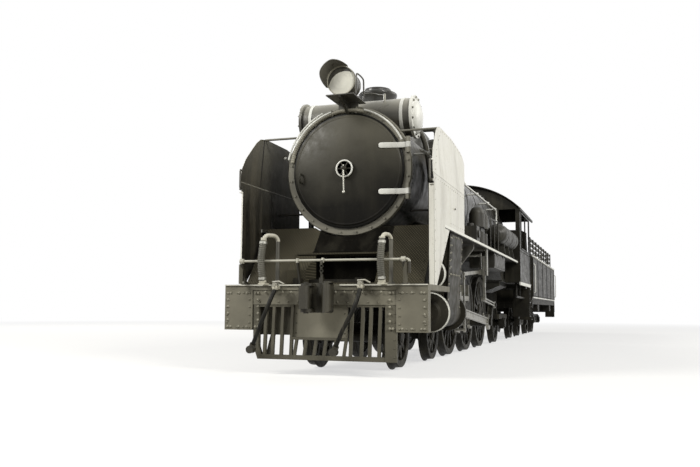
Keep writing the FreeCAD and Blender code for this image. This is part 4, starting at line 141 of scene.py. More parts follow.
def weathered_and_shaded(name, colour, grime=(0.20, 0.185, 0.14), dirty=0.3, rough=0.5, metal=0.0, shine=0.5,
              grain=1.0, bands=(), tread=0.0, fade=None):
    """Painted or bare metal.  The colour is shifted by broad noise, then crossed by
    streaks, noise drawn out along Z, and flecked by fine noise, both towards grime.  Each
    band is (colour, limits): colour picked out where every limit holds, for painted trim
    and also for painted light and shade.  A limit is (axis, low, high), the axis x, y, z,
    span for Y without its sign, (y, z) for the distance from that point with Y taken
    without its sign, ("spot", y, z) for the same with Y's sign kept, or ("lean", slope, z)
    for span with slope times the height over z added.  Tread is the pitch of a chequer of
    raised dots, the product of two sines over Y and Z.  Fade is (colour, low, high): the
    paint turns to that colour from the low height to the high one, blotched by noise; it
    serves for weathering and also for painted light.  Bands cover both."""
    material = bpy.data.materials.new(name)
    material.use_nodes = True
    tree = material.node_tree
    new, link = tree.nodes.new, tree.links.new
    shader = tree.nodes["Principled BSDF"]
    place = new("ShaderNodeTexCoord").outputs["Object"]
    split = new("ShaderNodeSeparateXYZ")
    link(place, split.inputs[0])

    def feed(node, *values):
        for socket, v in zip(node.inputs, values):
            if isinstance(v, (int, float)):
                socket.default_value = v
            else:
                link(v, socket)
        return node.outputs[0]

    def calc(operation, *values):
        node = new("ShaderNodeMath")
        node.operation = operation
        return feed(node, *values)

    def noise(scale, detail, stretch=(1, 1, 1)):
        scaled = new("ShaderNodeMapping")
        scaled.inputs["Scale"].default_value = stretch
        link(place, scaled.inputs["Vector"])
        n = new("ShaderNodeTexNoise")
        n.inputs["Scale"].default_value, n.inputs["Detail"].default_value = scale, detail
        link(scaled.outputs[0], n.inputs["Vector"])
        return n.outputs[0]

    def ramp(value, low, high, a=0.0, b=1.0):
        return feed(new("ShaderNodeMapRange"), value, low, high, a, b)

    def mix(factor, a, b):
        m = new("ShaderNodeMix")
        m.data_type = "RGBA"
        link(factor, m.inputs["Factor"])
        for socket, v in ((m.inputs[6], a), (m.inputs[7], b)):
            if isinstance(v, tuple):
                socket.default_value = (*v, 1.0)
            else:
                link(v, socket)
        return m.outputs[2]

    def along(axis):
        if isinstance(axis, tuple) and axis[0] == "lean":
            over = calc("MAXIMUM", calc("SUBTRACT", split.outputs[2], axis[2]), 0.0)
            return calc("ADD", calc("ABSOLUTE", split.outputs[1]), calc("MULTIPLY", over, axis[1]))
        if isinstance(axis, tuple):
            across = split.outputs[1] if axis[0] == "spot" else calc("ABSOLUTE", split.outputs[1])
            dy = calc("SUBTRACT", across, axis[-2])
            dz = calc("SUBTRACT", split.outputs[2], axis[-1])
            return calc("SQRT", calc("ADD", calc("MULTIPLY", dy, dy), calc("MULTIPLY", dz, dz)))
        if axis == "span":
            return calc("ABSOLUTE", split.outputs[1])
        return split.outputs["xyz".index(axis)]

    paint = mix(ramp(noise(1.7 * grain, 6), 0.35, 0.68), tuple(c * 0.6 for c in colour), colour)
    if fade:
        blotch = calc("MULTIPLY", calc("SUBTRACT", noise(1.3 * grain, 4), 0.5), (fade[2] - fade[1]) * 0.8)
        height = calc("ADD", split.outputs[2], blotch)
        paint = mix(ramp(height, fade[1], fade[2]), paint, fade[0])
    if tread:
        waves = [calc("SINE", calc("MULTIPLY", split.outputs[k], 2 * math.pi / tread)) for k in (1, 2)]
        dots = ramp(calc("MULTIPLY", *waves), 0.15, 0.75)
        paint = mix(calc("MULTIPLY", dots, 0.55), paint, tuple(min(1.0, 3.2 * c) for c in colour))
    for band_colour, limits in bands:
        inside = None
        for axis, low, high in limits:
            test = calc("COMPARE", along(axis), (low + high) / 2, (high - low) / 2)
            inside = test if inside is None else calc("MULTIPLY", inside, test)
        paint = mix(inside, paint, band_colour)
    streaks = ramp(noise(5.0 * grain, 5, (1, 1, 0.12)), 0.50, 0.80, 0.0, dirty)
    flecks = ramp(noise(38.0 * grain, 3), 0.60, 0.80, 0.0, dirty * 0.8)
    paint = mix(flecks, mix(streaks, paint, grime), grime)
    link(paint, shader.inputs["Base Color"])
    link(ramp(noise(9.0 * grain, 4), 0.3, 0.7, rough - 0.12, rough + 0.14), shader.inputs["Roughness"])
    shader.inputs["Metallic"].default_value = metal
    shader.inputs["Specular IOR Level"].default_value = shine
    bump = new("ShaderNodeBump")
    bump.inputs["Strength"].default_value = 0.3
    bump.inputs["Distance"].default_value = 0.003
    relief = calc("ADD", noise(24.0 * grain, 5), calc("MULTIPLY", noise(1.1, 2), 3.0))
    if tread:
        relief = calc("ADD", relief, calc("MULTIPLY", dots, 2.0))
    link(relief, bump.inputs["Height"])
    link(bump.outputs[0], shader.inputs["Normal"])
    return material


rib_pitch, rib_half, coil_points, clamp_at = 0.021, 0.006, 560, 12
rib_grey = weathered_and_shaded("rib_grey", (0.13, 0.125, 0.10), dirty=0.3, rough=0.6, grain=4.0)
clamp_steel = weathered_and_shaded("clamp_steel", (0.55, 0.54, 0.48), dirty=0.4, rough=0.3, metal=0.7, grain=4.0)
rubber = weathered_and_shaded("hose_rubber", (0.008, 0.0075, 0.0055), dirty=0.15, rough=0.5, shine=0.15, grain=4.0)


def shell(rows, paint=0):
    """Closed skin over a stack of rings, an array (rings, points, 3): each ring is
    joined to the next and to its own start, and a fan to its mean point closes each
    end.  Faces are turned so that the volume, the sum of a . (b x c) / 6, is positive."""
    n, m = rows.shape[:2]
    points = np.vstack([rows.reshape(-1, 3), rows[0].mean(0), rows[-1].mean(0)])
    i, j = np.meshgrid(np.arange(n - 1), np.arange(m), indexing="ij")
    a, b = i * m + j, i * m + (j + 1) % m
    quads = np.stack([a, b, b + m, a + m], -1).reshape(-1, 4)
    j = np.arange(m)
    k, last, end = (j + 1) % m, (n - 1) * m, np.full(m, n * m)
    fans = np.vstack([np.stack([k, j, end], 1), np.stack([last + j, last + k, end + 1], 1)])
    corners = np.vstack([quads[:, :3], quads[:, [0, 2, 3]], fans])
    first, second, third = (points[corners[:, k]] for k in range(3))
    if np.einsum("ij,ij->", first, np.cross(second, third)) < 0:
        quads, fans = quads[:, ::-1], fans[:, ::-1]
    return points, quads, fans, paint


def turned(profile, centre, axis="x", sides=48, paint=0):
    """Lathe work: every (along, radius) of the profile goes once round the axis that
    runs through centre."""
    along, radius = (np.asarray(c, float)[:, None] for c in zip(*profile))
    turn = np.linspace(0, 2 * np.pi, sides, endpoint=False)
    reach, across, over = along + 0 * turn, radius * np.cos(turn), radius * np.sin(turn)
    order = {"x": (reach, across, over), "y": (across, reach, over), "z": (across, over, reach)}[axis]
    return shell(np.stack(order, -1) + np.array(centre, float), paint)


def pipe(path, radius, sides=12, paint=0):
    """Round bar: a circle of the radius, one value or one a point, set square to the
    path at each of its points."""
    path = np.asarray(path, float)
    ahead = np.gradient(path, axis=0)
    ahead /= np.linalg.norm(ahead, axis=1)[:, None]
    choices = np.array([(1, 0, 0), (0, 1, 0), (0, 0, 1), (0.58, 0.58, 0.58)], float)
    away = choices[np.abs(ahead @ choices.T).max(0).argmin()]
    one = np.cross(ahead, away)
    one /= np.linalg.norm(one, axis=1)[:, None]
    two = np.cross(ahead, one)
    turn = np.linspace(0, 2 * np.pi, sides, endpoint=False)[:, None]
    reach = np.broadcast_to(np.asarray(radius, float), (len(path),))[:, None, None]
    ring = one[:, None] * np.cos(turn) + two[:, None] * np.sin(turn)
    return shell(path[:, None] + reach * ring, paint)


def fit(name, parts, paints, body="engine", stands_for=(), crease=35.0):
    """One piece from its closed parts, each with the number of its paint, smooth but
    for edges sharper than the crease."""
    starts = np.cumsum([0] + [len(part[0]) for part in parts])
    faces, paint = [], []
    for start, (_, quads, fans, number) in zip(starts, parts):
        faces += (quads + start).tolist() + (fans + start).tolist()
        paint += [number] * (len(quads) + len(fans))
    mesh = bpy.data.meshes.new(name)
    mesh.from_pydata(np.vstack([part[0] for part in parts]).tolist(), [], faces)
    mesh.polygons.foreach_set("material_index", paint)
    for material in paints:
        mesh.materials.append(material)
    mesh.shade_smooth()
    mesh.set_sharp_from_angle(angle=math.radians(crease))
    piece = bpy.data.objects.new(name, mesh)
    bpy.context.scene.collection.objects.link(piece)
    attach(piece, body)
    if stands_for:
        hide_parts(*stands_for)
    return piece


routes = {
    "air_hose_left": (0.048, [(9.310, 0.491, 0.978), (9.380, 0.480, 0.843), (9.395, 0.420, 0.698),
                              (9.385, 0.335, 0.558), (9.340, 0.262, 0.433), (9.310, 0.215, 0.343)]),
    "air_hose_right": (0.048, [(9.310, -0.530, 0.966), (9.380, -0.556, 0.843), (9.395, -0.606, 0.708),
                               (9.385, -0.668, 0.573), (9.340, -0.742, 0.438), (9.305, -0.795, 0.348)]),
    "vacuum_hose_left": (0.072, [(9.290, 0.735, 1.508), (9.324, 0.728, 1.363), (9.326, 0.727, 1.213),
                                 (9.294, 0.733, 1.073)]),
    "vacuum_hose_right": (0.072, [(9.290, -0.690, 1.528), (9.324, -0.700, 1.378), (9.326, -0.702, 1.218),
                                  (9.294, -0.694, 1.073)]),
}
for name, (thick, points) in routes.items():
    line = bpy.data.curves.new(name + "_line", "CURVE")
    line.dimensions = "3D"
    line.bevel_depth = thick / 2
    line.bevel_resolution = 6
    spline = line.splines.new("NURBS")
    spline.points.add(len(points) - 1)
    for point, place in zip(spline.points, points):
        point.co = (*place, 1.0)
    spline.order_u = 3
    spline.use_endpoint_u = True
    spline.resolution_u = 16
    line.materials.append(rib_grey if name.startswith("vacuum") else rubber)
    bare = line.copy()
    bare.bevel_depth = 0.0
    bare = bpy.data.objects.new(name + "_middle", bare)
    middle = np.array([v.co for v in bpy.data.meshes.new_from_object(bare).vertices])
    bpy.data.objects.remove(bare)
    hose = bpy.data.objects.new(name + "_rubber", line)
    bpy.context.scene.collection.objects.link(hose)
    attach(hose, "engine")
    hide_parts(name)
    if name.startswith("vacuum"):
        reach = np.append(0, np.cumsum(np.linalg.norm(np.diff(middle, axis=0), axis=1)))
        where = np.linspace(2 * rib_half, reach[-1] - 2 * rib_half, coil_points)
        core = np.stack([np.interp(where, reach, middle[:, k]) for k in range(3)], 1)
        ahead = np.gradient(core, axis=0)
        ahead /= np.linalg.norm(ahead, axis=1)[:, None]
        one = np.cross(ahead, (0.0, 1.0, 0.0))
        one /= np.linalg.norm(one, axis=1)[:, None]
        turn = (2 * np.pi * where / rib_pitch)[:, None]
        coil = core + (thick / 2 + 0.001) * (one * np.cos(turn) + np.cross(ahead, one) * np.sin(turn))
        clamps = [turned([(z - 0.016, thick / 2), (z - 0.014, thick / 2 + 0.009),
                          (z + 0.014, thick / 2 + 0.009), (z + 0.016, thick / 2)], (x, y, 0), "z", paint=1)
                  for x, y, z in (core[clamp_at], core[-clamp_at])]
        mates = [fit(name + "_ribs", [pipe(coil, rib_half, 6)] + clamps, [rib_grey, clamp_steel])]

# ---- frames, trucks and wheels ---------------------------------------------------
# Oily castings and plate frames, near black under a film of track dust, and the
# wheels in the same black.


def dress(material, *names):
    """Give CAD nodes their finish."""
    for name in names:
        nodes[name].data.materials.clear()
        nodes[name].data.materials.append(material)


oily = weathered_and_shaded("oily_casting", (0.014, 0.0125, 0.009), dirty=0.22, rough=0.55, shine=0.15, grain=2.0)
dress(oily, "engine_frame", "driving_boxes_and_springs", "brake_gear", "lead_bogie_frame",
      "trailing_truck_frame", "tender_frame", "tender_bogie_frame_1", "tender_bogie_frame_2")
wheel_black = weathered_and_shaded("wheel_black", (0.016, 0.0145, 0.010), dirty=0.25, rough=0.55, shine=0.15,
                        grain=1.5)
dress(wheel_black, *[n for n in nodes if "wheelset" in n])

# ---- cylinders and motion --------------------------------------------------------
# Painted castings with white rims on their covers, and leaning jackets held by rivets.
# Rods, slide bars and valve gear are bare steel under a film of oil and dust.
white = (0.80, 0.80, 0.75)
cylinder_y, cylinder_z, valve_z = 0.940, 0.714, 1.198
cover_face, rim = (7.84, 7.90), 0.012
cylinder_paint = weathered_and_shaded("cylinder_paint", (0.028, 0.0255, 0.0185), dirty=0.26, rough=0.5, shine=0.12,
                           bands=[
    (white, [((cylinder_y, cylinder_z), 0.250 - rim, 0.252), ("x", *cover_face)]),
    (white, [((cylinder_y, valve_z), 0.200 - rim, 0.202), ("x", *cover_face)])])
dress(cylinder_paint, "cylinders")
jacket_y, jacket_low, jacket_slope = 1.132, 0.728, 0.0534


def rivets(places, facing, radius=0.012, height=0.009, paint=0):
    """Button heads: three rings and a pole of a low dome, radius times the sine and
    height times the cosine of one angle, repeated at every place and turned to face."""
    facing = np.asarray(facing, float)
    facing = facing / np.linalg.norm(facing)
    one = np.cross(facing, (0.0, 0.0, 1.0) if abs(facing[2]) < 0.9 else (1.0, 0.0, 0.0))
    one /= np.linalg.norm(one)
    two = np.cross(facing, one)
    rise = np.radians([90.0, 60.0, 25.0])[:, None]
    turn = np.linspace(0, 2 * np.pi, 8, endpoint=False)
    across, over = radius * np.sin(rise) * np.cos(turn), radius * np.sin(rise) * np.sin(turn)
    lift = height * np.cos(rise) - 0.001 + 0 * turn
    rows = across[..., None] * one + over[..., None] * two + lift[..., None] * facing
    points, quads, fans, _ = shell(rows)
    places = np.asarray(places, float).reshape(-1, 3)
    step = (np.arange(len(places)) * len(points))[:, None, None]
    return ((places[:, None] + points).reshape(-1, 3), (quads + step).reshape(-1, 4),
            (fans + step).reshape(-1, 3), paint)


def row(start, end, pitch):
    """Evenly spaced places from start to end, about pitch apart."""
    start, end = np.array(start, float), np.array(end, float)
    return np.linspace(start, end, max(2, int(round(np.linalg.norm(end - start) / pitch)) + 1))


def on_jacket(line):
    """Places on the leaning jacket plate: Y grows with the height by the plate's slope."""
    line[:, 1] = jacket_y + jacket_slope * (line[:, 2] - jacket_low)
    return line


jacket_rows = [on_jacket(row((x, 0, z0), (x, 0, 1.66), 0.098))
               for x, z0 in ((7.725, 0.78), (7.655, 1.20), (6.965, 0.78))]
jacket_rows += [on_jacket(row((7.60, 0, z), (7.06, 0, z), 0.11)) for z in (1.69, 1.20)]
# The jacket rivets are painted far paler than the jackets: painted highlights on their heads.
fit("jacket_rivets", [rivets(np.vstack(jacket_rows) * (1, hand, 1), (0.25, hand, 0), 0.014, 0.012)
                      for hand in (-1, 1)],
    [weathered_and_shaded("jacket_rivet_highlight", (0.30, 0.29, 0.23), dirty=0.2, rough=0.4)])
steel = weathered_and_shaded("oiled_steel", (0.30, 0.29, 0.25), grime=(0.06, 0.055, 0.045), dirty=0.6, rough=0.38,
                  metal=0.85, grain=2.0)
dress(steel, "side_rod_left", "side_rod_right", "main_rod_left", "main_rod_right",
      "eccentric_rod_left", "eccentric_rod_right", "slide_bars_and_crossheads", "valve_gear")

# ---- beam, pilot, coupler and apron ----------------------------------------------
# Grey paint faded to olive, dulled by track dust, with a painted highlight along the
# deck's edge.  The rivet heads are painted paler than the plates, as painted highlights.
# The apron is chequered plate, with painted shade near black along its middle under the
# smokebox.  Air cocks with lever handles stand ahead of the deck, between the uncoupling
# rod's stanchions.
beam_grey = weathered_and_shaded("beam_grey", (0.185, 0.173, 0.132), dirty=0.15, rough=0.6, shine=0.3, bands=[
    # Pale band along the deck's edge: a painted highlight.
    ((0.55, 0.54, 0.48), [("x", 9.199, 9.22), ("z", 1.012, 1.04)])])
dress(beam_grey, "buffer_beam")
plate_face, deck_face, plate_low, plate_high, deck_line = 9.190, 9.199, 0.539, 0.932, 0.940
beam_heads = [row((plate_face, hand * y, z0), (plate_face, hand * y, z1), 0.082) for hand in (-1, 1)
              for y, z0, z1 in ((1.185, 0.54, 0.93), (0.795, 0.54, 0.93))]
beam_heads += [row((plate_face, hand * 0.83, z), (plate_face, hand * 1.15, z), 0.105)
               for hand in (-1, 1) for z in (plate_low, plate_high)]
beam_heads += [row((deck_face, -0.70, deck_line), (deck_face, 0.70, deck_line), 0.108)]
# The rivet heads are painted paler than the beam: painted highlights.
fit("beam_rivets", [rivets(np.vstack(beam_heads), (1, 0, 0), 0.0165, 0.014)],
    [weathered_and_shaded("beam_rivet_highlight", (0.29, 0.275, 0.22), dirty=0.15, rough=0.5, shine=0.3)])
apron_grey = weathered_and_shaded("apron_grey", (0.040, 0.036, 0.025), dirty=0.08, rough=0.65, shine=0.03,
                       tread=0.034, bands=[
    # Near-black bands along the apron's middle, under the smokebox: painted shade.
    ((0.004, 0.0035, 0.0025), [("span", 0.0, 0.50), ("z", 1.03, 1.395), ("x", 8.2, 8.62)]),
    ((0.003, 0.0026, 0.0018), [("y", -0.36, 0.60), ("z", 1.43, 1.80)])])
dress(apron_grey, "front_apron")
pilot_grey = weathered_and_shaded("pilot_grey", (0.115, 0.107, 0.080), dirty=0.2, rough=0.6, shine=0.25, bands=[
    ((0.205, 0.193, 0.150), [("y", -0.37, 0.30), ("x", 9.12, 9.142), ("z", 0.43, 1.0)])])
dress(pilot_grey, "pilot")
coupler_iron = weathered_and_shaded("coupler_iron", (0.030, 0.027, 0.018), dirty=0.3, rough=0.5, shine=0.35, grain=2.0,
                         bands=[((0.42, 0.41, 0.35), [("x", 9.24, 9.31), ("z", 1.27, 1.325)])])
dress(coupler_iron, "front_coupler")
pipe_grey = weathered_and_shaded("pipe_grey", (0.10, 0.095, 0.075), dirty=0.3, rough=0.45, grain=3.0, bands=[
    # The pale band over the swan necks' tops is a painted highlight; the lower one picks out the hose cocks.
    ((0.50, 0.48, 0.40), [("z", 1.53, 1.70)]), ((0.46, 0.44, 0.36), [("z", 0.94, 1.075), ("x", 9.21, 9.36)])])
dress(pipe_grey, "brake_pipes")
cock_x, post_x, post_y = 9.302, 9.262, 0.990
cocks = [pipe([(post_x, hand * post_y, 1.035), (post_x, hand * post_y, 1.262)], 0.026, 4, paint=1)
         for hand in (-1, 1)]
for y, z in (routes[name][1][0][1:] for name in ("air_hose_left", "air_hose_right")):
    cocks += [turned([(0.02, 0.001), (0.02, 0.030), (0.05, 0.036), (0.08, 0.030), (0.08, 0.001)],
                     (cock_x, y, z), "z", 6),
              pipe([(cock_x - 0.057, y, z + 0.052), (cock_x + 0.050, y, z + 0.052)], 0.021, 12),
              pipe([(cock_x + 0.010, y - 0.03, z + 0.088), (cock_x + 0.028, y + 0.06, z + 0.094),
                    (cock_x + 0.036, y + 0.125, z + 0.062)], 0.009, 8)]
fit("air_cocks", cocks, [weathered_and_shaded("cock_metal", (0.40, 0.385, 0.32), dirty=0.45, rough=0.42, grain=4.0),
                         pilot_grey])
dress(coupler_iron, "hose_couplings")

# ---- boiler shell: smokebox, barrel, firebox, domes ------------------------------
# Sheet steel and cleading, painted satin black and streaked by weather.  The smokebox
# fades to grey towards its top and its front ring is paler: partly weathered paint,
# partly painted light.
boiler_black = weathered_and_shaded("boiler_black", (0.020, 0.019, 0.014), dirty=0.12, rough=0.33, shine=0.5)
dress(boiler_black, "boiler_barrel", "firebox", "domes")
boiler_z, ring_faces = 2.483, (8.24, 8.60)
smoke_black = weathered_and_shaded("smoke_black", (0.026, 0.024, 0.018), dirty=0.18, rough=0.42, shine=0.4,
                        # The fade towards the top and the paler ring are partly painted light.
                        fade=((0.070, 0.066, 0.052), 2.0, 3.4),
                        bands=[((0.150, 0.142, 0.112), [((0.0, boiler_z), 0.735, 1.05), ("x", *ring_faces)])])
dress(smoke_black, "smokebox")

# ---- smokebox door --------------------------------------------------------------
# Pressed steel door, a shallow dome with a rolled bead near its edge, on two white
# strap hinges.  A white handwheel and a hanging handle draw it shut at its centre.
door_x, door_r, door_rise, flange_lift = 8.313, 0.730, 0.098, 0.022
wheel_lift, wheel_r, wheel_half, handle_x = 0.155, 0.102, 0.011, 8.508
rail_white = weathered_and_shaded("rail_white", white, grime=(0.45, 0.43, 0.36), dirty=0.3, rough=0.35)
door_paint_and_light = weathered_and_shaded("door_paint_and_light", (0.0045, 0.0038, 0.0022), dirty=0.05, rough=0.42, shine=0.14,
                       # Lighter towards the top: partly weathering, partly painted light, a sheen over the
                       # upper door and shade at its foot.
                       fade=((0.080, 0.075, 0.058), 2.05, 3.30),
                       # Near-black ring at the door's edge: a painted shadow in the gap to the front ring.
                       bands=[((0.002, 0.002, 0.001), [((0.0, boiler_z), 0.708, 0.740)])])


def door_height(r):
    """Height of the dome over the door's back at radius r: rise x (1 - (r/R)^2.3),
    over the flange, with a bead of half a sine wave between 0.672 and 0.700 m."""
    bead = np.sin(np.pi * np.clip((r - 0.672) / 0.028, 0, 1))
    return flange_lift + door_rise * (1 - (r / door_r) ** 2.3) + 0.004 * bead


def bent(points, cuts=3):
    """Bent bar's middle line: each run kept from a quarter to three quarters of its
    length, cuts times over, which rounds every corner."""
    line = np.array(points, float)
    for _ in range(cuts):
        a, b = line[:-1], line[1:]
        line = np.vstack([line[:1], np.stack([0.75 * a + 0.25 * b, 0.25 * a + 0.75 * b], 1).reshape(-1, 3),
                          line[-1:]])
    return line


dome_r = np.concatenate([np.linspace(door_r - 0.004, 0.66, 22), np.linspace(0.64, 0.01, 26)])
dish = [(0.0, 0.60), (0.0, door_r - 0.003), (0.004, door_r), (0.020, door_r)] \
    + list(zip(door_height(dome_r), dome_r))
door = [turned(dish, (door_x, 0, boiler_z), sides=128),
        turned([(0.11, 0.034), (0.20, 0.034), (0.205, 0.026)], (door_x, 0, boiler_z), sides=24)]
once_round = np.linspace(0, 2 * np.pi, 17)
door.append(turned([(wheel_lift + wheel_half * math.sin(a), wheel_r + wheel_half * math.cos(a))
                    for a in once_round], (door_x, 0, boiler_z), sides=64, paint=1))
for spoke in np.radians(30 + 60 * np.arange(6)):
    arm = np.array((0, math.sin(spoke), math.cos(spoke)))
    door.append(pipe((door_x + wheel_lift, 0, boiler_z) + arm * np.array([[0.02], [0.10]]), 0.008, 8))
door.append(pipe([(handle_x - 0.005, 0, 2.523), (handle_x + 0.002, 0.004, 2.40), (handle_x, 0.010, 2.183)],
                 [0.011, 0.013, 0.010], paint=2))
knob = np.linspace(0.05, np.pi - 0.05, 9)
for z, r in ((2.183, 0.021), (2.395, 0.017)):
    door.append(turned([(-r * math.cos(a), r * math.sin(a)) for a in knob], (handle_x, 0.007, z),
                       "z", 16, paint=2))
door.append(pipe(bent([(8.372, -0.615, 2.455), (8.425, -0.615, 2.455), (8.425, -0.612, 2.345),
                       (8.375, -0.612, 2.345)], 2), 0.011, 10))
hinge_x, hinge_y, strap_levels = 8.352, 0.790, (2.763, 2.188)
strap_tip, strap_round, strap_half, strap_thick = 0.420, 0.034, 0.035, 0.020
for z in strap_levels:
    y = np.linspace(strap_tip + 0.005, hinge_y + 0.002, 26)
    dome = door_height(np.hypot(np.minimum(y, door_r - 0.01), z - boiler_z))
    foot = door_x + np.where(y < door_r - 0.01, dome, flange_lift)
    foot = np.maximum(foot, hinge_x - 0.012) - 0.004
    half = strap_half * np.sqrt(1 - (1 - np.clip((y - strap_tip) / strap_round, 0, 1)) ** 2)
    turn = np.linspace(0, 2 * np.pi, 20, endpoint=False)
    square = 1 / np.maximum(np.abs(np.cos(turn)), np.abs(np.sin(turn))) ** 0.75
    deep = strap_thick / 2 * (1 + square * np.cos(turn))
    strap = np.stack([foot[:, None] + deep, y[:, None] + 0 * turn,
                      z + half[:, None] * np.clip(square * np.sin(turn), -1, 1)], -1)
    door += [shell(strap, 1),
             turned([(-0.034, 0.026), (-0.034, 0.029), (0.034, 0.029), (0.034, 0.026)],
                    (hinge_x, hinge_y, z), "z", 24, paint=1)]
fit("smokebox_door_pressing", door, [door_paint_and_light, rail_white, clamp_steel], "smokebox_door",
    ["smokebox_door"])

# ---- lagged pipe and rivets on the smokebox --------------------------------------
# A steam pipe wrapped in rope lagging follows the front ring over the top and down the
# right side, held by clips, with a white rail outside it.  Button-head rivets run round
# the shell's seams.
ring_x, lagging_r, pipe_ring_r, rail_x, rail_ring_r = 8.336, 0.021, 0.768, 8.352, 0.818
sweep = np.radians(np.linspace(-16, 80, 420))
lagged = np.stack([ring_x + 0 * sweep, -pipe_ring_r * np.sin(sweep),
                   boiler_z + pipe_ring_r * np.cos(sweep)], 1)
lagging = weathered_and_shaded("rope_lagging", (0.30, 0.285, 0.23), dirty=0.35, rough=0.75, grain=5.0)
wraps = lagging_r + 0.0035 * np.abs(np.sin(np.linspace(0, 48 * np.pi, len(sweep))))
clips = [pipe([(ring_x, -r * math.sin(a), boiler_z + r * math.cos(a))
               for r in (pipe_ring_r - 0.035, pipe_ring_r + 0.045)], 0.012, 8, 1)
         for a in np.radians([-8, 16, 36, 56, 74])]
sweep = np.radians(np.linspace(24, 78, 60))
outer_rail = np.stack([rail_x + 0 * sweep, -rail_ring_r * np.sin(sweep),
                       boiler_z + rail_ring_r * np.cos(sweep)], 1)
fit("ring_pipe", [pipe(lagged, wraps, 14)] + clips, [lagging, smoke_black])
fit("ring_rail", [pipe(outer_rail, 0.012, 10)], [rail_white])
shell_r, under_heater = 0.800, 0.9
heads = []
for x in (8.19, 8.14, 6.30):
    for a in np.radians(np.arange(-130, 131, 4.0)):
        if abs(a) > under_heater or x < 7:
            heads.append(rivets([(x, shell_r * math.sin(a), boiler_z + shell_r * math.cos(a))],
                                (0, math.sin(a), math.cos(a)), 0.013, 0.009))
fit("smokebox_rivets", heads, [smoke_black])

# ---- feed-water heater ----------------------------------------------------------
# Steel drum across the top of the smokebox, sunk in its saddle, with domed covers
# bolted to its flanges, white clips and a white left cover; its pipes run down and back.
heater_x, heater_z, heater_r, heater_half = 7.840, 3.228, 0.250, 0.770
flange_thick, flange_rise, clip_y, bolt_circle, pipe_back = 0.04, 0.030, 0.618, 0.252, 0.42
heater_paint_and_highlight = weathered_and_shaded("heater_paint_and_highlight", (0.075, 0.070, 0.055), dirty=0.12, rough=0.34,
                         # Pale over the drum's top: a painted highlight.
                         fade=((0.34, 0.33, 0.28), 3.22, 3.5))
cover_rows = [(0.066, 0.02), (0.063, 0.09), (0.040, 0.17), (0.012, 0.215), (0.0, 0.222)]
flange_y = heater_half - flange_thick
heater = [turned([(-flange_y, heater_r), (flange_y, heater_r)], (heater_x, 0, heater_z), "y", 64)]
for hand in (-1, 1):
    flange = [(hand * flange_y, heater_r), (hand * flange_y, heater_r + flange_rise - 0.004),
              (hand * (flange_y + 0.004), heater_r + flange_rise),
              (hand * (heater_half - 0.004), heater_r + flange_rise),
              (hand * heater_half, heater_r + flange_rise - 0.004)]
    heater.append(turned(flange + [(hand * (heater_half + rise), r) for rise, r in reversed(cover_rows)],
                         (heater_x, 0, heater_z), "y", 64, paint=1 if hand > 0 else 0))
    heater.append(turned([(hand * clip_y - 0.022, heater_r), (hand * clip_y - 0.020, heater_r + 0.007),
                          (hand * clip_y + 0.020, heater_r + 0.007), (hand * clip_y + 0.022, heater_r)],
                         (heater_x, 0, heater_z), "y", 64, paint=1))
    bolt = np.radians(15 + 30 * np.arange(12))
    places = np.stack([heater_x + bolt_circle * np.cos(bolt), hand * heater_half + 0 * bolt,
                       heater_z + bolt_circle * np.sin(bolt)], 1)
    heater.append(rivets(places, (0, hand, 0), 0.017, 0.022))
    down = heater_x - pipe_back
    heater.append(pipe(bent([(heater_x - 0.15, hand * 0.69, heater_z - 0.08),
                             (heater_x - 0.26, hand * 0.82, 3.013), (down, hand * 0.862, 2.423),
                             (down, hand * 0.850, 1.928), (down, hand * 0.850, 1.775)]), 0.038, 16))
heater.append(pipe([(8.0, 0.38, 3.40), (7.99, 0.38, 3.525)], 0.016, 10))
fit("heater_drum", heater, [heater_paint_and_highlight, rail_white], stands_for=["feedwater_heater"])

# ---- chimney ---------------------------------------------------------------------
# Cast iron, flared to a rolled cap, with a narrower petticoat lip above it, on a
# saddle bolted to the smokebox.
chimney_x, crown, bore = 7.060, 3.283, 0.165
outline = [(-0.060, bore), (-0.060, 0.380), (0.010, 0.380), (0.020, 0.372), (0.026, 0.330), (0.050, 0.300),
           (0.090, 0.268), (0.130, 0.250), (0.200, 0.243), (0.400, 0.248), (0.440, 0.262), (0.470, 0.276),
           (0.490, 0.282), (0.508, 0.280), (0.518, 0.268), (0.520, 0.204), (0.540, 0.200), (0.566, 0.197),
           (0.578, 0.190), (0.580, 0.180), (0.576, bore), (0.20, bore)]
fit("chimney_casting", [turned(outline, (chimney_x, 0, crown), "z", 64)], [boiler_black],
    stands_for=["chimney"], crease=50.0)

# ---- headlamp -------------------------------------------------------------------
# Sheet-metal lamp on a folded bracket over the front ring, with a rolled rim, a short
# hood over its top and right side, a guard hoop and a domed glass.
lamp_x, lamp_z, ledge_z = 8.623, 3.558, 3.370
guard_y, guard_front, guard_back, guard_top = 0.205, 8.63, 8.33, 3.64
hood_reach, hood_root = 0.165, 0.190
lamp_paint = weathered_and_shaded("lamp_paint", (0.060, 0.056, 0.043), dirty=0.2, rough=0.36,
                       fade=((0.11, 0.105, 0.085), 3.5, 3.8),
                       bands=[((0.34, 0.325, 0.265), [((0.0, lamp_z), 0.174, 0.1935), ("x", 8.585, 8.64)])])
case_rows = [(-0.400, 0.01), (-0.398, 0.06), (-0.380, 0.11), (-0.350, 0.145), (-0.310, 0.160),
             (-0.300, 0.166), (-0.290, 0.160), (-0.160, 0.163), (-0.150, 0.169), (-0.140, 0.163),
             (-0.062, 0.166), (-0.052, 0.186)]
roll = np.linspace(-0.5, 1.4, 12) * np.pi
case_rows += [(-0.026 + 0.020 * math.sin(a - 0.5), 0.184 - 0.006 * math.cos(a)) for a in roll[:7]]
case_rows += [(-0.006, 0.176), (-0.030, 0.172), (-0.070, 0.12), (-0.090, 0.01)]
lamp = [turned(case_rows, (lamp_x, 0, lamp_z), sides=64)]
lean = np.radians(np.linspace(-112, 26, 60))[:, None]
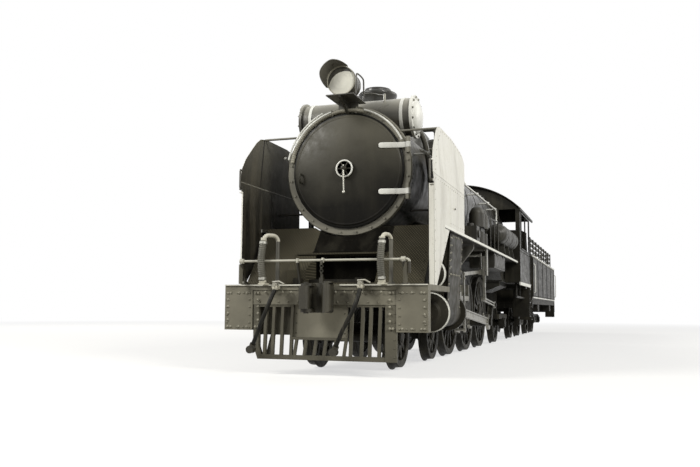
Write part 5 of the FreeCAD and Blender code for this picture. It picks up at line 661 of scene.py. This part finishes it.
ease = np.clip(np.minimum((lean[:, 0] - lean[0, 0]) / 0.9, (lean[-1, 0] - lean[:, 0]) / 0.9), 0.03, 1)
reach = hood_reach * np.sin(ease * np.pi / 2)[:, None]
lip = np.array([(0.0, 0.190), (0.0, 0.196), (0.5, 0.216), (1.0, 0.236), (1.0, 0.230), (0.5, 0.210)])
hood_x = lamp_x - 0.03 + lip[:, 0] * (reach + 0.03)
flare = (lip[:, 1] - hood_root) * (0.3 + 0.7 * reach / hood_reach)
hood_r = np.where(lip[:, 0] > 0, hood_root + flare, lip[:, 1])
lamp.append(shell(np.stack([hood_x, hood_r * np.sin(lean), lamp_z + hood_r * np.cos(lean)], -1)))


def plate(outline, low, high, along="z", paint=0):
    """Flat bar: the outline, read as (x, y) for z or (x, z) for y, drawn out square
    from low to high, with both faces closed."""
    flat = np.array(outline, float)
    rows = [np.insert(flat, {"x": 0, "y": 1, "z": 2}[along], level, axis=1) for level in (low, high)]
    return shell(np.array(rows), paint)


lamp += [plate([(8.19, -0.17), (8.69, -0.17), (8.69, 0.19), (8.19, 0.19)], ledge_z - 0.012, ledge_z),
         plate([(8.19, ledge_z), (8.68, ledge_z), (8.66, ledge_z - 0.03), (8.54, ledge_z - 0.065),
                (8.42, ledge_z - 0.13), (8.34, ledge_z - 0.17), (8.29, ledge_z - 0.17)], -0.016, 0.016, "y"),
         plate([(8.306, -0.13), (8.328, -0.13), (8.328, 0.13), (8.306, 0.13)], 3.27, ledge_z),
         plate([(8.25, ledge_z), (8.59, ledge_z), (8.55, ledge_z + 0.06), (8.29, ledge_z + 0.06)],
               -0.10, 0.10, "y")]
lamp.append(pipe(bent([(guard_front, guard_y, ledge_z), (guard_front, guard_y, guard_top - 0.04),
                       (guard_front - 0.03, guard_y, guard_top), (guard_back + 0.03, guard_y, guard_top),
                       (guard_back, guard_y, guard_top - 0.04), (guard_back, guard_y, ledge_z)], 2),
                 0.010, 10))
lamp.append(pipe(bent([(guard_back, guard_y, 3.45), (8.26, 0.29, 3.47), (8.05, 0.37, 3.49),
                       (8.00, 0.38, 3.525)]), 0.009, 10))
lamp.append(rivets(np.vstack([row((8.21, y, ledge_z), (8.67, y, ledge_z), 0.09) for y in (-0.15, 0.165)]),
                   (0, 0, 1), 0.010, 0.008))
fit("headlamp_case", lamp, [lamp_paint], stands_for=["headlamp"])
lens_glass = weathered_and_shaded("lens_glass", (0.80, 0.79, 0.70), grime=(0.45, 0.44, 0.37), dirty=0.25, rough=0.12,
                       # Dark crescent over the glass's upper part: a painted reflection.
                       bands=[((0.05, 0.048, 0.040), [(("spot", 0.05, lamp_z - 0.10), 0.215, 0.60)])])
dress(lens_glass, "headlamp_lens")

# ---- platforms, deflectors and fittings -----------------------------------------
# Black platforms with a white edge.  The deflectors' outer sheets and folded noses are
# pale, smudged with soot.  Their inner sides are dark and grow lighter towards their top,
# as painted light; the right one has a painted highlight along its crease and a strip of
# painted shade in line with the smokebox front.  Pumps, rack and small fittings are
# black, the handrails white.
board_paint = weathered_and_shaded("board_paint", (0.026, 0.024, 0.017), dirty=0.22, rough=0.55, shine=0.2, bands=[
    (white, [("span", 1.205, 1.24), ("z", 1.738, 1.778)])])
dress(board_paint, "running_boards")
pale = (0.66, 0.65, 0.59)
sheet_y, crease_z, sheet_lean = 1.2205, 2.308, 0.08
deflector_paint_and_light = weathered_and_shaded("deflector_paint_and_light", (0.016, 0.0145, 0.010), grime=(0.16, 0.14, 0.10), dirty=0.5,
                            # Inner faces lighter towards their top: painted light.
                            rough=0.4, fade=((0.13, 0.123, 0.097), 1.9, 3.1), bands=[
    (pale, [(("lean", sheet_lean, crease_z), 1.2165, 1.230)]),
    # Near-black strip on the right sheet's inner face, in line with the smokebox front: painted shade.
    ((0.004, 0.0035, 0.0025), [("y", -1.2155, -1.0), ("x", 8.306, 8.336), ("z", 1.8, 3.0)]),
    # Pale line along the crease on the right sheet's inner face: a painted highlight.
    ((0.20, 0.19, 0.155), [("y", -1.2155, -1.0), ("x", 6.9, 8.9), ("z", 2.300, 2.314)]),
    (pale, [("span", 1.150, 1.2145), ("x", 8.828, 8.90), ("z", 1.0, 2.20)])])
dress(deflector_paint_and_light, "smoke_deflectors")
edge_rows = [row((x0, sheet_y, z0), (x1, sheet_y, z1), 0.12) for x0, z0, x1, z1 in (
    (8.80, 1.06, 8.80, 2.24), (8.76, 2.26, 7.02, 2.26),
    (8.70, 1.06, 8.06, 1.72), (7.90, 1.82, 7.02, 1.82))]
heads = [rivets(np.vstack(edge_rows) * (1, hand, 1), (0, hand, 0), 0.010, 0.007) for hand in (-1, 1)]
upper = np.vstack([row((x0, 0, z0), (x1, 0, z1), 0.12) for x0, z0, x1, z1 in (
    (8.76, 2.36, 8.60, 2.62), (8.54, 2.70, 8.26, 2.91),
    (8.14, 2.935, 7.55, 2.935), (7.45, 2.93, 6.98, 2.86))])
upper[:, 1] = sheet_y - sheet_lean * (upper[:, 2] - crease_z)
heads += [rivets(upper * (1, hand, 1), (0, hand, sheet_lean), 0.010, 0.007) for hand in (-1, 1)]
fit("deflector_rivets", heads, [weathered_and_shaded("rivet_pale", pale, grime=(0.16, 0.14, 0.10), dirty=0.4)])
fitting_black = weathered_and_shaded("fitting_black", (0.028, 0.026, 0.019), dirty=0.22, rough=0.48, shine=0.35,
                          grain=2.0)
dress(fitting_black, "steam_pumps", "board_fittings", "backhead_fittings", "bunker_rack",
      "tank_hatch_lid")
dress(rail_white, "handrails")

# ---- cab ------------------------------------------------------------------------
# Black sheet cab with a white band along the foot of its sides; rivets run up its posts
# and along the sides below and above the windows.
cab_paint = weathered_and_shaded("cab_paint", (0.018, 0.0165, 0.012), dirty=0.14, rough=0.40, shine=0.14, bands=[
    (white, [("span", 1.25, 1.35), ("z", 1.262, 1.336), ("x", -1.2, 0.83)])])
dress(cab_paint, "cab_front", "cab_sides", "cab_roof", "cab_floor")
cab_y, small_head = 1.270, (0.0095, 0.007)
cab_rows = [row((x, cab_y, 1.40), (x, cab_y, 2.00), 0.085) for x in (0.79, -0.17, -1.13)]
cab_rows += [row((0.72, cab_y, z), (-1.06, cab_y, z), 0.085) for z in (1.99, 2.855)]
fit("cab_rivets", [rivets(np.vstack(cab_rows) * (1, hand, 1), (0, hand, 0), *small_head)
                   for hand in (-1, 1)], [cab_paint])

# ---- tender ---------------------------------------------------------------------
# Black tank with a white bead along its top edges, a white sill line and white grab
# rails.  Rivets run beside every upright seam and along both edges.
tender_paint = weathered_and_shaded("tender_paint", (0.017, 0.0155, 0.011), dirty=0.16, rough=0.42, shine=0.10, bands=[
    (white, [("span", 1.264, 1.32), ("z", 1.08, 2.12)]),
    (white, [("span", 1.236, 1.30), ("z", 2.050, 2.105)]),
    (white, [("span", 1.236, 1.30), ("z", 1.030, 1.066)])])
dress(tender_paint, "tender_tank", "tender_fittings")
tank_y, tank_front, tank_rear = 1.250, -1.83, -9.17
seams = np.arange(-2.35, -9.0, -1.10)
tank_rows = [row((x + shift, tank_y, 1.10), (x + shift, tank_y, 2.03), 0.085)
             for x in seams for shift in (-0.022, 0.022)]
tank_rows += [row((tank_front - 0.05, tank_y, z), (tank_rear + 0.05, tank_y, z), 0.085)
              for z in (1.09, 2.035)]
fit("tender_rivets", [rivets(np.vstack(tank_rows) * (1, hand, 1), (0, hand, 0), *small_head)
                      for hand in (-1, 1)], [tender_paint], "tender")
